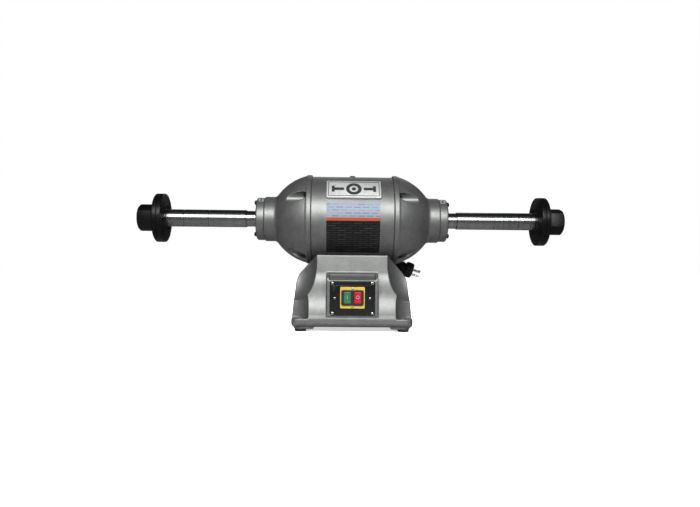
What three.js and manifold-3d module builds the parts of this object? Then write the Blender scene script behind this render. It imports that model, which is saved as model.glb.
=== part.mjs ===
// Double-ended bench buffer: an induction motor on a cast pedestal, with two long arbors.
// Millimetres, +Z up, +X along the arbor, the switch faces -Y, the origin is on the bench
// under the middle of the machine.
import * as THREE from 'three';
import { mergeVertices } from 'three/addons/utils/BufferGeometryUtils.js';
import Module from 'manifold-3d';

const wasm = await Module();
wasm.setup();

// ---- driving dimensions ----
const GAP = 0.3;
const AXIS_Z = 220;

// motor shell and stator
const SHELL_R = 88.3;
const SHELL_WALL = 5.9;
const SHELL_HALF = 81.4;
const SHELL_PLUG_X = 0.5;
const STATOR_HALF = 45;
const ROTOR_R = 50;
const AIR_GAP = 0.8;

// end bells: a dome turned from an arc between the band and the neck, a scoop at each tie bolt
const BAND_R = 91.8;
const BAND_IN_X = 81.7;
const BAND_OUT_X = 92.7;
const DOME_R = 108.4;
const DOME_X = 65.1;
const DOME_Z = -14.7;
const DOME_END_X = 152;
const BELL_WALL = 7;
const BELL_MOUTH_R = 77;
const SPIGOT_LENGTH = 7;
const NECK_R = 46;
const NECK_OUT_X = 178.5;
const SCOOP_R = 10.5;
const SCOOP_X = 91.4;
const SCOOP_LIFT = 3;
const TIE_R = 77.5;
const TIE_ANGLES = [30, 120, 210, 300];
const TIE_BOLT_R = 2.9;
const TIE_HEAD_R = 5.4;

// bearings and caps
const BEARING_R = 32.5;
const BEARING_WIDTH = 17;
const BEARING_OUT_X = 175.3;
const CAP_R = 43.8;
const CAP_IN_X = 178.8;
const CAP_OUT_X = 195.5;
const CAP_BORE_R = 18;
const CAP_CHAMFER = 2.4;
const CAP_SCREW_RING = 37;
const CAP_SCREW_HOLE_R = 2.8;
const CAP_SCREW_ANGLES = [60, 180, 300];

// arbor, spacers, flanges and nuts
const SEAT_R = 16.6;
const SHOULDER_R = 16.3;
const ARBOR_R = 12.7;
const STACK_START_X = 217.6;
const SPACER_R = 17.8;
const SPACER_LENGTHS = [76.2, 50.8, 25.4, 9.5];
const FLANGE_R = 50;
const FLANGE_HUB_R = 29;
const FLANGE_CONE = 3.8;
const FLANGE_RIM = 9;
const OUTER_FLANGE = 8.9;
const NUT_FLATS = 47.8;
const NUT_LENGTH = 35.7;
const NUT_TURN = [31, 21];

// pedestal base: two crossed outlines, cut back at the corners and hollow below
const BASE_HALF = 117;
const BASE_WALL = 8;
const BASE_TOP_Z = 147;
const SKIRT_TOP_Z = 25;
const SKIRT_BOTTOM_Z = 9;
const PAD_BOTTOM_Z = 4.8;
const PAD_SIZE = 46;
const PAD_EDGE = 112;
const SKIRT_CORNER_R = 14;
const POCKET_R = 30;
const POCKET_CENTRE = 114;
const CORNER_CUT = { r: 47.8, tall: 80.3, x: 115, y: 95, z: 135 };
const FLUTE = { r: 46, flatness: 0.5, x: 124, z: 76 };
const BOLT_LUG_HEIGHT = 10;
const BOLT_CENTRE = 99;
const BOLT_HOLE_R = 6;

// switch
const PANEL_Z = 65;
const SWITCH_Z = 66.2;
const BOSS_HALF = 49;
const COVE_HALF = 45;
const PANEL_HOLE = { w: 48, h: 40 };
const SWITCH_HOLE = { w: 43.4, h: 30 };
const PLATE = { w: 86.6, h: 65.8, t: 2 };
const BEZEL = { w: 46.8, h: 40.6, t: 2.4 };
const FRAME = { w: 42, h: 28.4, t: 3 };
const BUTTON = { w: 13.8, h: 22, x: 9.8, depth: 10 };
const SWITCH_BODY = { w: 42, h: 30, front: -111.5, back: -78 };
const CAPACITOR = { r: 20, length: 90, y: 62, z: 34 };

// badge and label, both on the shell
const BADGE = { w: 108, h: 45.4, x: 1.9, radius: 91.5, angle: 38.8, edge: 1.2 };
const LABEL = { w: 105, x: 1, from: -49.3, to: 19.9, t: 0.44 };

// power cord
const CORD_R = 5;
const CORD_EXIT_X = -45;
const CORD_EXIT_Z = 30;
const GLAND_R = 6.6;
const RELIEF_LENGTH = 30;
const COIL = { x: 66, y: 129, z: 68, inner: 38, outer: 66, width: 20 };
const PLUG = { x: 96.3, y: 160, z: 127.6, slope: 19.5 };

// ---- materials ----
function mat(color, roughness, metalness) {
  return new THREE.MeshStandardMaterial({ color, roughness, metalness });
}
const paint = mat(0x6f726f, 0.5, 0.4);
const steel = mat(0xc4c6c8, 0.3, 1);
const blackSteel = mat(0x1c1d1f, 0.45, 0.7);
const laminations = mat(0x7d7f82, 0.5, 0.8);
const copper = mat(0xa8622f, 0.4, 0.9);
const rubber = mat(0x151515, 0.8, 0);
const blackPlastic = mat(0x1b1b1d, 0.55, 0);
const yellowPlastic = mat(0xe8c448, 0.45, 0);
const greenPlastic = mat(0x3c7d55, 0.35, 0);
const redPlastic = mat(0xbe2332, 0.35, 0);
const badgeFace = mat(0xb5b8b6, 0.4, 0.4);
const labelFace = mat(0x50545a, 0.5, 0);

// ---- small tools ----
const root = new THREE.Group();

function addMesh(name, geometry, material) {
  const mesh = new THREE.Mesh(geometry, material);
  mesh.name = name;
  root.add(mesh);
}

function solid(geometry) {
  const bare = geometry.clone();
  bare.deleteAttribute('normal');
  bare.deleteAttribute('uv');
  const merged = mergeVertices(bare, 1e-4);
  const vertProperties = new Float32Array(merged.attributes.position.array);
  const triVerts = new Uint32Array(merged.index.array);
  return new wasm.Manifold(new wasm.Mesh({ numProp: 3, vertProperties, triVerts }));
}

function toGeometry(body) {
  const mesh = body.getMesh();
  const geometry = new THREE.BufferGeometry();
  geometry.setAttribute('position', new THREE.BufferAttribute(mesh.vertProperties, 3));
  geometry.setIndex(new THREE.BufferAttribute(mesh.triVerts, 1));
  return geometry;
}

function addSolid(name, body, material) {
  addMesh(name, toGeometry(body), material);
}

// side is +1 for the right of the machine and -1 for the left
function sideName(side) {
  return side > 0 ? 'right' : 'left';
}

// a lathe about the arbor axis: the profile is a list of [x, radius] in turning order
function turned(profile, segments, side = 1) {
  const points = profile.map(([x, r]) => new THREE.Vector2(r, x));
  const geometry = new THREE.LatheGeometry(points, segments);
  geometry.rotateZ(-Math.PI / 2);
  if (side < 0) geometry.rotateY(Math.PI);
  geometry.translate(0, 0, AXIS_Z);
  return geometry;
}

// a ring between two radii from x0 to x1, closed on itself
function ring(x0, x1, outer, inner, segments, side = 1) {
  const profile = [[x0, inner], [x0, outer], [x1, outer], [x1, inner], [x0, inner]];
  return turned(profile, segments, side);
}

function box(x0, x1, y0, y1, z0, z1) {
  const geometry = new THREE.BoxGeometry(x1 - x0, y1 - y0, z1 - z0);
  geometry.translate((x0 + x1) / 2, (y0 + y1) / 2, (z0 + z1) / 2);
  return geometry;
}

// a cylinder along X
function rodX(radius, x0, x1, y, z, segments = 24) {
  const geometry = new THREE.CylinderGeometry(radius, radius, Math.abs(x1 - x0), segments);
  geometry.rotateZ(Math.PI / 2);
  geometry.translate((x0 + x1) / 2, y, z);
  return geometry;
}

// a cylinder along Z
function rodZ(radius, z0, z1, x, y, segments = 24) {
  const geometry = new THREE.CylinderGeometry(radius, radius, z1 - z0, segments);
  geometry.rotateX(Math.PI / 2);
  geometry.translate(x, y, (z0 + z1) / 2);
  return geometry;
}

// a point at a radius and an angle round the arbor: 0 is the front, 90 is the top
function around(radius, degrees) {
  const a = THREE.MathUtils.degToRad(degrees);
  return { y: -radius * Math.cos(a), z: AXIS_Z + radius * Math.sin(a) };
}

function roundedRect(w, h, r) {
  const shape = new THREE.Shape();
  shape.moveTo(-w / 2 + r, -h / 2);
  shape.lineTo(w / 2 - r, -h / 2);
  shape.absarc(w / 2 - r, -h / 2 + r, r, -Math.PI / 2, 0);
  shape.lineTo(w / 2, h / 2 - r);
  shape.absarc(w / 2 - r, h / 2 - r, r, 0, Math.PI / 2);
  shape.lineTo(-w / 2 + r, h / 2);
  shape.absarc(-w / 2 + r, h / 2 - r, r, Math.PI / 2, Math.PI);
  shape.lineTo(-w / 2, -h / 2 + r);
  shape.absarc(-w / 2 + r, -h / 2 + r, r, Math.PI, 1.5 * Math.PI);
  return shape;
}

// a shape drawn in (x, z), pushed from y0 back to y1
function frontPlate(shape, y0, y1, x, z) {
  const options = { depth: y1 - y0, bevelEnabled: false, curveSegments: 4 };
  const geometry = new THREE.ExtrudeGeometry(shape, options);
  geometry.rotateX(Math.PI / 2);
  geometry.translate(x, y1, z);
  return geometry;
}

function extruded(points, depth) {
  const shape = new THREE.Shape(points.map(([a, b]) => new THREE.Vector2(a, b)));
  return new THREE.ExtrudeGeometry(shape, { depth, bevelEnabled: false });
}

// ---- pedestal base ----

// half depth against height: a steep upper front that sweeps out into the skirt
function frontOutline(inset) {
  const sweep = new THREE.CubicBezierCurve(
    new THREE.Vector2(83, 112), new THREE.Vector2(87, 84),
    new THREE.Vector2(110, 72), new THREE.Vector2(115.5, 32));
  const half = [[80, BASE_TOP_Z], ...sweep.getPoints(6).map((p) => [p.x, p.y]),
    ...skirtEdge(inset)];
  return closeOutline(half, inset);
}

// half width against height: sloping shoulders under the end bells, then nearly upright
function sideOutline(inset) {
  const shoulder = new THREE.QuadraticBezierCurve(
    new THREE.Vector2(99, 115), new THREE.Vector2(110, 104), new THREE.Vector2(111.5, 88));
  const half = [[70, BASE_TOP_Z], ...shoulder.getPoints(4).map((p) => [p.x, p.y]),
    [115, 45], ...skirtEdge(inset)];
  return closeOutline(half, inset);
}

// the upright skirt, with its lower edge turned in on the outside only
function skirtEdge(inset) {
  if (inset > 0) return [[BASE_HALF, SKIRT_TOP_Z], [BASE_HALF, SKIRT_BOTTOM_Z]];
  return [[BASE_HALF, SKIRT_TOP_Z], [BASE_HALF, 16], [BASE_HALF - 1.8, 11.8],
    [BASE_HALF - 5.5, SKIRT_BOTTOM_Z]];
}

function closeOutline(half, inset) {
  const drop = (z) => (z > BASE_TOP_Z - inset ? BASE_TOP_Z - inset : z);
  const right = half.map(([a, z]) => [a - inset, drop(z)]);
  if (inset > 0) right[right.length - 1][1] -= 2 * inset;
  const left = right.map(([a, z]) => [-a, z]).reverse();
  return [...right.reverse(), ...left.reverse()];
}

function pyramid(inset) {
  const width = 2 * BASE_HALF + 20;
  const alongX = extruded(frontOutline(inset), width);
  alongX.rotateX(Math.PI / 2);
  alongX.rotateZ(Math.PI / 2);
  alongX.translate(-width / 2, 0, 0);
  const alongY = extruded(sideOutline(inset), width);
  alongY.rotateX(Math.PI / 2);
  alongY.translate(0, width / 2, 0);
  const side = 2 * (BASE_HALF - inset);
  const plan = new THREE.ExtrudeGeometry(
    roundedRect(side, side, SKIRT_CORNER_R), { depth: 200, bevelEnabled: false, curveSegments: 3 });
  plan.translate(0, 0, -30);
  return solid(alongX).intersect(solid(alongY)).intersect(solid(plan));
}

// one upright cut with a long round lower end per corner narrows the front above the pocket
function cornerCut(sx, sy, grow) {
  const { r, tall, x, y, z } = CORNER_CUT;
  const end = new THREE.SphereGeometry(r + grow, 28, 18);
  end.rotateX(Math.PI / 2);
  end.scale(1, 1, (tall + grow) / (r + grow));
  end.translate(sx * x, sy * y, z);
  const column = rodZ(r + grow, z, z + 60, sx * x, sy * y, 28);
  return solid(end).add(solid(column));
}

// the recess in the middle of each side
function sideFlute(sx, grow) {
  const geometry = new THREE.SphereGeometry(FLUTE.r + grow, 20, 12);
  geometry.scale(FLUTE.flatness, 1, 1);
  geometry.translate(sx * FLUTE.x, 0, FLUTE.z);
  return solid(geometry);
}

function corners() {
  return [[-1, -1], [1, -1], [1, 1], [-1, 1]];
}

// the raised panel for the switch, with a cove above the plate between two horns
function switchBoss() {
  const alongY = (outline, halfWidth) => {
    const geometry = extruded(outline, 2 * halfWidth);
    geometry.rotateX(Math.PI / 2);
    geometry.rotateZ(Math.PI / 2);
    geometry.translate(-halfWidth, 0, 0);
    return solid(geometry);
  };
  const block = alongY([[-40, 30], [-40, 112], [-84, 112], [-104, 110], [-113, 105],
    [-BASE_HALF, 98.6], [-BASE_HALF, 30]], BOSS_HALF);
  const cove = alongY([[-BASE_HALF - 3, 98.6], [-BASE_HALF - 3, 120], [-93, 120], [-93.6, 112.4],
    [-97, 107.2], [-102.5, 103], [-111.5, 100]], COVE_HALF);
  return block.subtract(cove);
}

function buildBase() {
  let body = pyramid(0);
  let hollow = pyramid(BASE_WALL);
  for (const [sx, sy] of corners()) {
    const cx = sx * POCKET_CENTRE;
    const cy = sy * POCKET_CENTRE;
    body = body.subtract(cornerCut(sx, sy, 0));
    body = body.subtract(solid(rodZ(POCKET_R, SKIRT_TOP_Z, 150, cx, cy, 24)));
    hollow = hollow.subtract(cornerCut(sx, sy, BASE_WALL));
    hollow = hollow.subtract(solid(rodZ(POCKET_R + BASE_WALL, -50, 160, cx, cy, 16)));
  }
  for (const sx of [-1, 1]) {
    body = body.subtract(sideFlute(sx, 0));
    hollow = hollow.subtract(sideFlute(sx, BASE_WALL));
  }
  body = body.add(switchBoss());
  for (const [sx, sy] of corners()) {
    const edge = PAD_EDGE - PAD_SIZE / 2;
    const pad = new THREE.ExtrudeGeometry(
      roundedRect(PAD_SIZE, PAD_SIZE, SKIRT_CORNER_R),
      { depth: BOLT_LUG_HEIGHT, bevelEnabled: false, curveSegments: 3 });
    pad.translate(sx * edge, sy * edge, PAD_BOTTOM_Z);
    body = body.add(solid(pad));
  }
  hollow = hollow.subtract(solid(rodX(SHELL_R + BASE_WALL, -150, 150, 0, AXIS_Z, 40)));
  body = body.subtract(hollow);
  body = body.subtract(solid(rodX(SHELL_R + GAP, -150, 150, 0, AXIS_Z, 64)));
  for (const side of [-1, 1]) {
    const clear = rodX(BAND_R + 0.8, side * (BAND_IN_X - 0.5), side * 150, 0, AXIS_Z, 64);
    body = body.subtract(solid(clear));
  }
  const { w, h } = PANEL_HOLE;
  body = body.subtract(solid(box(-w / 2, w / 2, -130, -70, SWITCH_Z - h / 2, SWITCH_Z + h / 2)));
  for (const [sx, sy] of corners()) {
    const cx = sx * BOLT_CENTRE;
    const cy = sy * BOLT_CENTRE;
    body = body.subtract(solid(rodZ(BOLT_HOLE_R, -1, 60, cx, cy, 12)));
  }
  const gland = rodZ(GLAND_R, -30, 30, 0, 0, 12);
  gland.rotateX(Math.PI / 2);
  gland.translate(CORD_EXIT_X, BASE_HALF, CORD_EXIT_Z);
  body = body.subtract(solid(gland));
  addSolid('base_casting', body, paint);
}

function buildFeet() {
  const names = ['front_left', 'front_right', 'rear_right', 'rear_left'];
  corners().forEach(([sx, sy], i) => {
    const neck = BOLT_HOLE_R - GAP;
    const profile = [[4.6, 0], [10.5, 0], [11, 0.6], [11, PAD_BOTTOM_Z - GAP],
      [neck, PAD_BOTTOM_Z - GAP], [neck, 9], [4.6, 9], [4.6, 0]];
    const geometry = new THREE.LatheGeometry(profile.map(([r, z]) => new THREE.Vector2(r, z)), 12);
    geometry.rotateX(Math.PI / 2);
    geometry.translate(sx * BOLT_CENTRE, sy * BOLT_CENTRE, 0);
    addMesh(`rubber_foot_${names[i]}`, geometry, rubber);
  });
}

// sheet cover that closes the hollow from below, between the corner pads
function buildBottomCover() {
  const half = BASE_HALF - BASE_WALL - GAP;
  const geometry = box(-half + 45, half - 45, -half + 2, half - 2, 9.3, 10.8);
  addMesh('bottom_cover', geometry, blackSteel);
}

// ---- motor ----

function buildShell() {
  const inner = SHELL_R - SHELL_WALL;
  let body = solid(ring(-SHELL_HALF, SHELL_HALF, SHELL_R, inner, 48));
  body = body.subtract(solid(rodZ(3.1, AXIS_Z + 60, AXIS_Z + 100, SHELL_PLUG_X, 0, 8)));
  addSolid('motor_shell', body, paint);
}

function buildShellPlug() {
  const profile = [[0, -5], [2.7, -5], [2.7, 0.8], [6, 0.8], [6, 1.6], [4.6, 2.6], [0, 2.9]];
  const geometry = new THREE.LatheGeometry(profile.map(([r, z]) => new THREE.Vector2(r, z)), 14);
  geometry.rotateX(Math.PI / 2);
  geometry.translate(SHELL_PLUG_X, 0, AXIS_Z + SHELL_R);
  addMesh('shell_plug_screw', geometry, blackSteel);
}

function domeArc(thickness, fromX, toX, steps) {
  const radius = DOME_R - thickness;
  const points = [];
  for (let i = 0; i <= steps; i += 1) {
    const x = fromX + ((toX - fromX) * i) / steps;
    points.push([x, DOME_Z + Math.sqrt(radius * radius - (x - DOME_X) ** 2)]);
  }
  return points;
}

function buildEndBell(side) {
  const bandTop = [[BAND_IN_X, BAND_R - 0.8], [BAND_IN_X + 0.8, BAND_R], [BAND_OUT_X - 1.2, BAND_R]];
  const outer = [[BAND_IN_X, 0], ...bandTop, ...domeArc(0, BAND_OUT_X, DOME_END_X, 6),
    [DOME_END_X + 3.5, NECK_R + 0.6], [DOME_END_X + 6, NECK_R], [NECK_OUT_X - 1, NECK_R],
    [NECK_OUT_X, NECK_R - 1], [NECK_OUT_X, 0]];
  const inner = [[BAND_IN_X - 1, 0], [BAND_IN_X - 1, BELL_MOUTH_R], [BAND_OUT_X - 4, BELL_MOUTH_R],
    ...domeArc(BELL_WALL, BAND_OUT_X, DOME_END_X - 8, 4), [DOME_END_X, 40], [DOME_END_X + 3, 27],
    [DOME_END_X + 3, 0]];
  let body = solid(turned(outer, 40, side));
  const spigotRadius = SHELL_R - SHELL_WALL - GAP;
  const spigot = ring(BAND_IN_X - SPIGOT_LENGTH, BAND_IN_X + 1, spigotRadius, BELL_MOUTH_R, 24, side);
  body = body.add(solid(spigot));
  let hollow = solid(turned(inner, 24, side));
  for (const angle of TIE_ANGLES) {
    const at = around(TIE_R + 2, angle);
    hollow = hollow.subtract(solid(rodX(SCOOP_R + 5, side * 70, side * 150, at.y, at.z, 10)));
  }
  body = body.subtract(hollow);
  const seat = BEARING_OUT_X - BEARING_WIDTH - 1;
  body = body.subtract(solid(rodX(BEARING_R + 0.5, side * seat, side * 190, 0, AXIS_Z, 24)));
  body = body.subtract(solid(rodX(25, side * 150, side * 170, 0, AXIS_Z, 16)));
  for (const angle of TIE_ANGLES) {
    const scoop = around(TIE_R + SCOOP_LIFT, angle);
    const hole = around(TIE_R, angle);
    body = body.subtract(
      solid(rodX(SCOOP_R, side * SCOOP_X, side * 160, scoop.y, scoop.z, 12)));
    body = body.subtract(solid(rodX(3.4, side * 60, side * 110, hole.y, hole.z, 6)));
  }
  for (const angle of CAP_SCREW_ANGLES) {
    const at = around(CAP_SCREW_RING, angle);
    body = body.subtract(solid(rodX(CAP_SCREW_HOLE_R, side * 165, side * 190, at.y, at.z, 6)));
  }
  addSolid(`end_bell_${sideName(side)}`, body, paint);
}

function buildBearingCap(side) {
  const profile = [[CAP_IN_X, CAP_BORE_R], [CAP_IN_X, CAP_R], [CAP_OUT_X - CAP_CHAMFER, CAP_R],
    [CAP_OUT_X, CAP_R - CAP_CHAMFER], [CAP_OUT_X, CAP_BORE_R], [CAP_IN_X, CAP_BORE_R]];
  let body = solid(turned(profile, 32, side));
  for (const angle of CAP_SCREW_ANGLES) {
    const at = around(CAP_SCREW_RING, angle);
    body = body.subtract(solid(rodX(CAP_SCREW_HOLE_R, side * 170, side * 210, at.y, at.z, 6)));
  }
  addSolid(`bearing_cap_${sideName(side)}`, body, paint);
}

function buildCapScrews(side) {
  CAP_SCREW_ANGLES.forEach((angle, i) => {
    const start = CAP_OUT_X + GAP;
    const profile = [[169, 0], [169, 2], [start, 2], [start, 4.9], [start + 1.6, 4.7],
      [start + 3.4, 3.4], [start + 3.9, 1.9], [start + 2.2, 1.7], [start + 2.2, 0]];
    const points = profile.map(([x, r]) => new THREE.Vector2(r, x));
    const geometry = new THREE.LatheGeometry(points, 10);
    geometry.rotateZ(-Math.PI / 2);
    if (side < 0) geometry.rotateY(Math.PI);
    const at = around(CAP_SCREW_RING, angle);
    geometry.translate(0, at.y, at.z);
    addMesh(`cap_screw_${sideName(side)}_${i + 1}`, geometry, blackSteel);
  });
}

function buildTieBolts() {
  TIE_ANGLES.forEach((angle, i) => {
    const end = SCOOP_X + GAP;
    const head = 5;
    const profile = [[-end - head, 0], [-end - head, TIE_HEAD_R - 0.4], [-end, TIE_HEAD_R],
      [-end, TIE_BOLT_R], [end, TIE_BOLT_R], [end, TIE_HEAD_R], [end + head, TIE_HEAD_R - 0.4],
      [end + head, 0]];
    const points = profile.map(([x, r]) => new THREE.Vector2(r, x));
    const geometry = new THREE.LatheGeometry(points, 6);
    geometry.rotateZ(-Math.PI / 2);
    const at = around(TIE_R, angle);
    geometry.translate(0, at.y, at.z);
    addMesh(`tie_bolt_${i + 1}`, geometry, blackSteel);
  });
}

function buildStator() {
  let core = solid(ring(-STATOR_HALF, STATOR_HALF, SHELL_R - SHELL_WALL - GAP, ROTOR_R + AIR_GAP, 40));
  for (const angle of TIE_ANGLES) {
    const at = around(TIE_R, angle);
    core = core.subtract(solid(rodX(4, -60, 60, at.y, at.z, 8)));
    const slot = around(TIE_R + 4, angle);
    core = core.subtract(solid(rodX(3.4, -60, 60, slot.y, slot.z, 8)));
  }
  addSolid('stator_core', core, laminations);
  for (const side of [-1, 1]) {
    const x0 = STATOR_HALF + GAP;
    const profile = [[x0, 54], [x0, 71], [x0 + 14, 72], [x0 + 19, 68], [x0 + 20, 61],
      [x0 + 16, 55], [x0, 54]];
    addMesh(`stator_winding_${sideName(side)}`, turned(profile, 24, side), copper);
  }
}

function buildBearing(side) {
  const x0 = BEARING_OUT_X - BEARING_WIDTH;
  const x1 = BEARING_OUT_X;
  addMesh(`bearing_outer_ring_${sideName(side)}`, ring(x0, x1, BEARING_R, 25, 24, side), steel);
  addMesh(`bearing_inner_ring_${sideName(side)}`, ring(x0, x1, 24.4, SEAT_R + 0.3, 24, side), steel);
}

// ---- arbor ----

function stackStarts() {
  let x = STACK_START_X;
  return SPACER_LENGTHS.map((length) => {
    const start = x;
    x += length + GAP;
    return start;
  });
}
const FLANGE_X = STACK_START_X + SPACER_LENGTHS.reduce((sum, l) => sum + l + GAP, 0);
const OUTER_FLANGE_X = FLANGE_X + FLANGE_CONE + FLANGE_RIM + GAP;
const NUT_X = OUTER_FLANGE_X + OUTER_FLANGE + GAP;

function buildShaft() {
  const end = NUT_X + NUT_LENGTH - 4;
  const half = [[end, 0], [end, ARBOR_R - 2], [end - 2, ARBOR_R], [STACK_START_X - GAP, ARBOR_R],
    [STACK_START_X - GAP, SHOULDER_R], [BEARING_OUT_X + 1, SHOULDER_R], [BEARING_OUT_X + 1, SEAT_R],
    [BEARING_OUT_X - BEARING_WIDTH - 0.4, SEAT_R], [BEARING_OUT_X - BEARING_WIDTH - 0.4, 20]];
  const left = half.map(([x, r]) => [-x, r]);
  addMesh('arbor_shaft', turned([...left, ...half.reverse()], 20), steel);
}

function buildRotor() {
  const half = STATOR_HALF + 9;
  const profile = [[-half, 20.1], [-half, 40], [-STATOR_HALF, ROTOR_R], [STATOR_HALF, ROTOR_R],
    [half, 40], [half, 20.1], [-half, 20.1]];
  addMesh('rotor_core', turned(profile, 32), laminations);
}

function buildSpacers(side) {
  stackStarts().forEach((x, i) => {
    const x1 = x + SPACER_LENGTHS[i];
    const edge = 0.4;
    const inner = ARBOR_R + GAP;
    const profile = [[x, inner], [x, SPACER_R - edge], [x + edge, SPACER_R], [x1 - edge, SPACER_R],
      [x1, SPACER_R - edge], [x1, inner], [x, inner]];
    const name = `spacer_${sideName(side)}_${i + 1}`;
    addMesh(name, turned(profile, 20, side), steel);
  });
}

// a wheel is clamped between the inner flange, coned on its motor side, and the outer one
function buildFlanges(side) {
  const face = FLANGE_X + FLANGE_CONE;
  const back = face + FLANGE_RIM;
  const bore = ARBOR_R + GAP;
  const inner = [[FLANGE_X, bore], [FLANGE_X, FLANGE_HUB_R], [face, FLANGE_R - 0.8],
    [face + 0.8, FLANGE_R], [back, FLANGE_R], [back, bore], [FLANGE_X, bore]];
  addMesh(`inner_flange_${sideName(side)}`, turned(inner, 32, side), blackSteel);
  const end = OUTER_FLANGE_X + OUTER_FLANGE;
  const outer = [[OUTER_FLANGE_X, bore], [OUTER_FLANGE_X, FLANGE_R], [end - 1.5, FLANGE_R],
    [end, FLANGE_R - 1.5], [end, bore], [OUTER_FLANGE_X, bore]];
  addMesh(`outer_flange_${sideName(side)}`, turned(outer, 32, side), blackSteel);
}

function buildNut(side) {
  const across = NUT_FLATS / Math.sqrt(3);
  const hex = new THREE.CylinderGeometry(across, across, NUT_LENGTH, 6);
  hex.rotateZ(Math.PI / 2);
  const tilt = side > 0 ? NUT_TURN[1] : NUT_TURN[0];
  hex.rotateX(THREE.MathUtils.degToRad(tilt + 30));
  hex.translate(side * (NUT_X + NUT_LENGTH / 2), 0, AXIS_Z);
  const x1 = NUT_X + NUT_LENGTH;
  const profile = [[NUT_X - 1, 0], [NUT_X - 1, across + 2], [x1 - 3, across + 1],
    [x1, NUT_FLATS / 2 - 0.6], [x1, 0]];
  let body = solid(hex).intersect(solid(turned(profile, 24, side)));
  body = body.subtract(solid(rodX(ARBOR_R + GAP, side * 390, side * 450, 0, AXIS_Z, 20)));
  addSolid(`arbor_nut_${sideName(side)}`, body, blackSteel);
}

// ---- switch ----
const PLATE_Y = -BASE_HALF - GAP;
const PLATE_FRONT = PLATE_Y - PLATE.t;
const BEZEL_FRONT = PLATE_FRONT - GAP - BEZEL.t;
const FRAME_FRONT = BEZEL_FRONT - FRAME.t;

function buildSwitch() {
  const { w: holeW, h: holeH } = SWITCH_HOLE;
  const hole = solid(
    box(-holeW / 2, holeW / 2, -200, 200, SWITCH_Z - holeH / 2, SWITCH_Z + holeH / 2));
  const plate = frontPlate(roundedRect(PLATE.w, PLATE.h, 5), PLATE_FRONT, PLATE_Y, 0, PANEL_Z);
  const bezel = frontPlate(
    roundedRect(BEZEL.w, BEZEL.h, 2), BEZEL_FRONT, PLATE_FRONT - GAP, 0, SWITCH_Z);
  addSolid('switch_plate', solid(plate).subtract(hole), blackPlastic);
  addSolid('switch_bezel', solid(bezel).subtract(hole), yellowPlastic);

  let frame = solid(frontPlate(roundedRect(FRAME.w, FRAME.h, 4), FRAME_FRONT, -112, 0, SWITCH_Z));
  for (const sx of [-1, 1]) {
    const x = sx * BUTTON.x;
    const w = BUTTON.w / 2 + 0.5;
    const h = BUTTON.h / 2 + 0.5;
    frame = frame.subtract(solid(box(x - w, x + w, -200, -100, SWITCH_Z - h, SWITCH_Z + h)));
  }
  addSolid('button_frame', frame, blackPlastic);

  const { w: bodyW, h: bodyH, front, back } = SWITCH_BODY;
  const body = box(-bodyW / 2, bodyW / 2, front, back, SWITCH_Z - bodyH / 2, SWITCH_Z + bodyH / 2);
  addMesh('switch_body', body, blackPlastic);
}

function buildButton(name, sx, material) {
  const x = sx * BUTTON.x;
  const bevel = 1;
  const depth = BUTTON.depth - 2 * bevel;
  const options = { depth, bevelEnabled: true, bevelThickness: bevel, bevelSize: bevel,
    bevelOffset: -bevel, bevelSegments: 1, curveSegments: 2 };
  const geometry = new THREE.ExtrudeGeometry(roundedRect(BUTTON.w, BUTTON.h, 2), options);
  geometry.rotateX(Math.PI / 2);
  geometry.translate(x, FRAME_FRONT - 0.6 + bevel + depth, SWITCH_Z);
  addMesh(name, geometry, material);
}

function buildCapacitor() {
  const { r, length, y, z } = CAPACITOR;
  const geometry = new THREE.CylinderGeometry(r, r, length, 16);
  geometry.rotateZ(Math.PI / 2);
  geometry.translate(0, y, z);
  addMesh('run_capacitor', geometry, labelFace);
}

// ---- badge and label ----

function buildBadge() {
  const { w, h, x, radius, angle, edge } = BADGE;
  const outline = roundedRect(w, h, 2);
  const options = { depth: 10, bevelEnabled: true, bevelThickness: edge, bevelSize: edge,
    bevelOffset: -edge, bevelSegments: 1, curveSegments: 2 };
  const geometry = new THREE.ExtrudeGeometry(outline, options);
  geometry.rotateX(Math.PI / 2);
  geometry.computeBoundingBox();
  geometry.translate(0, -radius - geometry.boundingBox.min.y, 0);
  geometry.rotateX(-THREE.MathUtils.degToRad(angle));
  geometry.translate(x, 0, AXIS_Z);
  const inside = solid(rodX(SHELL_R + GAP, -90, 90, 0, AXIS_Z, 64));
  addSolid('badge_plate', solid(geometry).subtract(inside), badgeFace);
}

function buildLabel() {
  const inner = SHELL_R + GAP + 0.06;
  const { w, x, from, to, t: thickness } = LABEL;
  const steps = 14;
  const arc = (radius, back) => {
    const points = [];
    for (let i = 0; i <= steps; i += 1) {
      const t = back ? 1 - i / steps : i / steps;
      const at = around(radius, from + (to - from) * t);
      points.push([at.y, at.z]);
    }
    return points;
  };
  const geometry = extruded([...arc(inner + thickness, false), ...arc(inner, true)], w);
  geometry.rotateX(Math.PI / 2);
  geometry.rotateZ(Math.PI / 2);
  geometry.translate(x - w / 2, 0, 0);
  addMesh('info_label', geometry, labelFace);
}

// ---- power cord ----

function tube(points, name) {
  const curve = new THREE.CatmullRomCurve3(points.map((p) => new THREE.Vector3(...p)));
  const section = new THREE.Shape();
  section.absarc(0, 0, CORD_R, 0, 2 * Math.PI);
  const steps = Math.round(curve.getLength() / (CORD_R * 5));
  const geometry = new THREE.ExtrudeGeometry(
    section, { steps, extrudePath: curve, curveSegments: 5, bevelEnabled: false });
  addMesh(name, geometry, rubber);
}

function buildStrainRelief() {
  const shank = GLAND_R - 0.4;
  const profile = [[-11, 0], [-11, shank], [0, shank], [0, 9.5], [3, 9.5], [5, 7.6],
    [RELIEF_LENGTH, CORD_R + 1], [RELIEF_LENGTH, 0]];
  const geometry = new THREE.LatheGeometry(profile.map(([y, r]) => new THREE.Vector2(r, y)), 14);
  geometry.translate(CORD_EXIT_X, BASE_HALF + GAP, CORD_EXIT_Z);
  addMesh('strain_relief', geometry, rubber);
}

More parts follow.
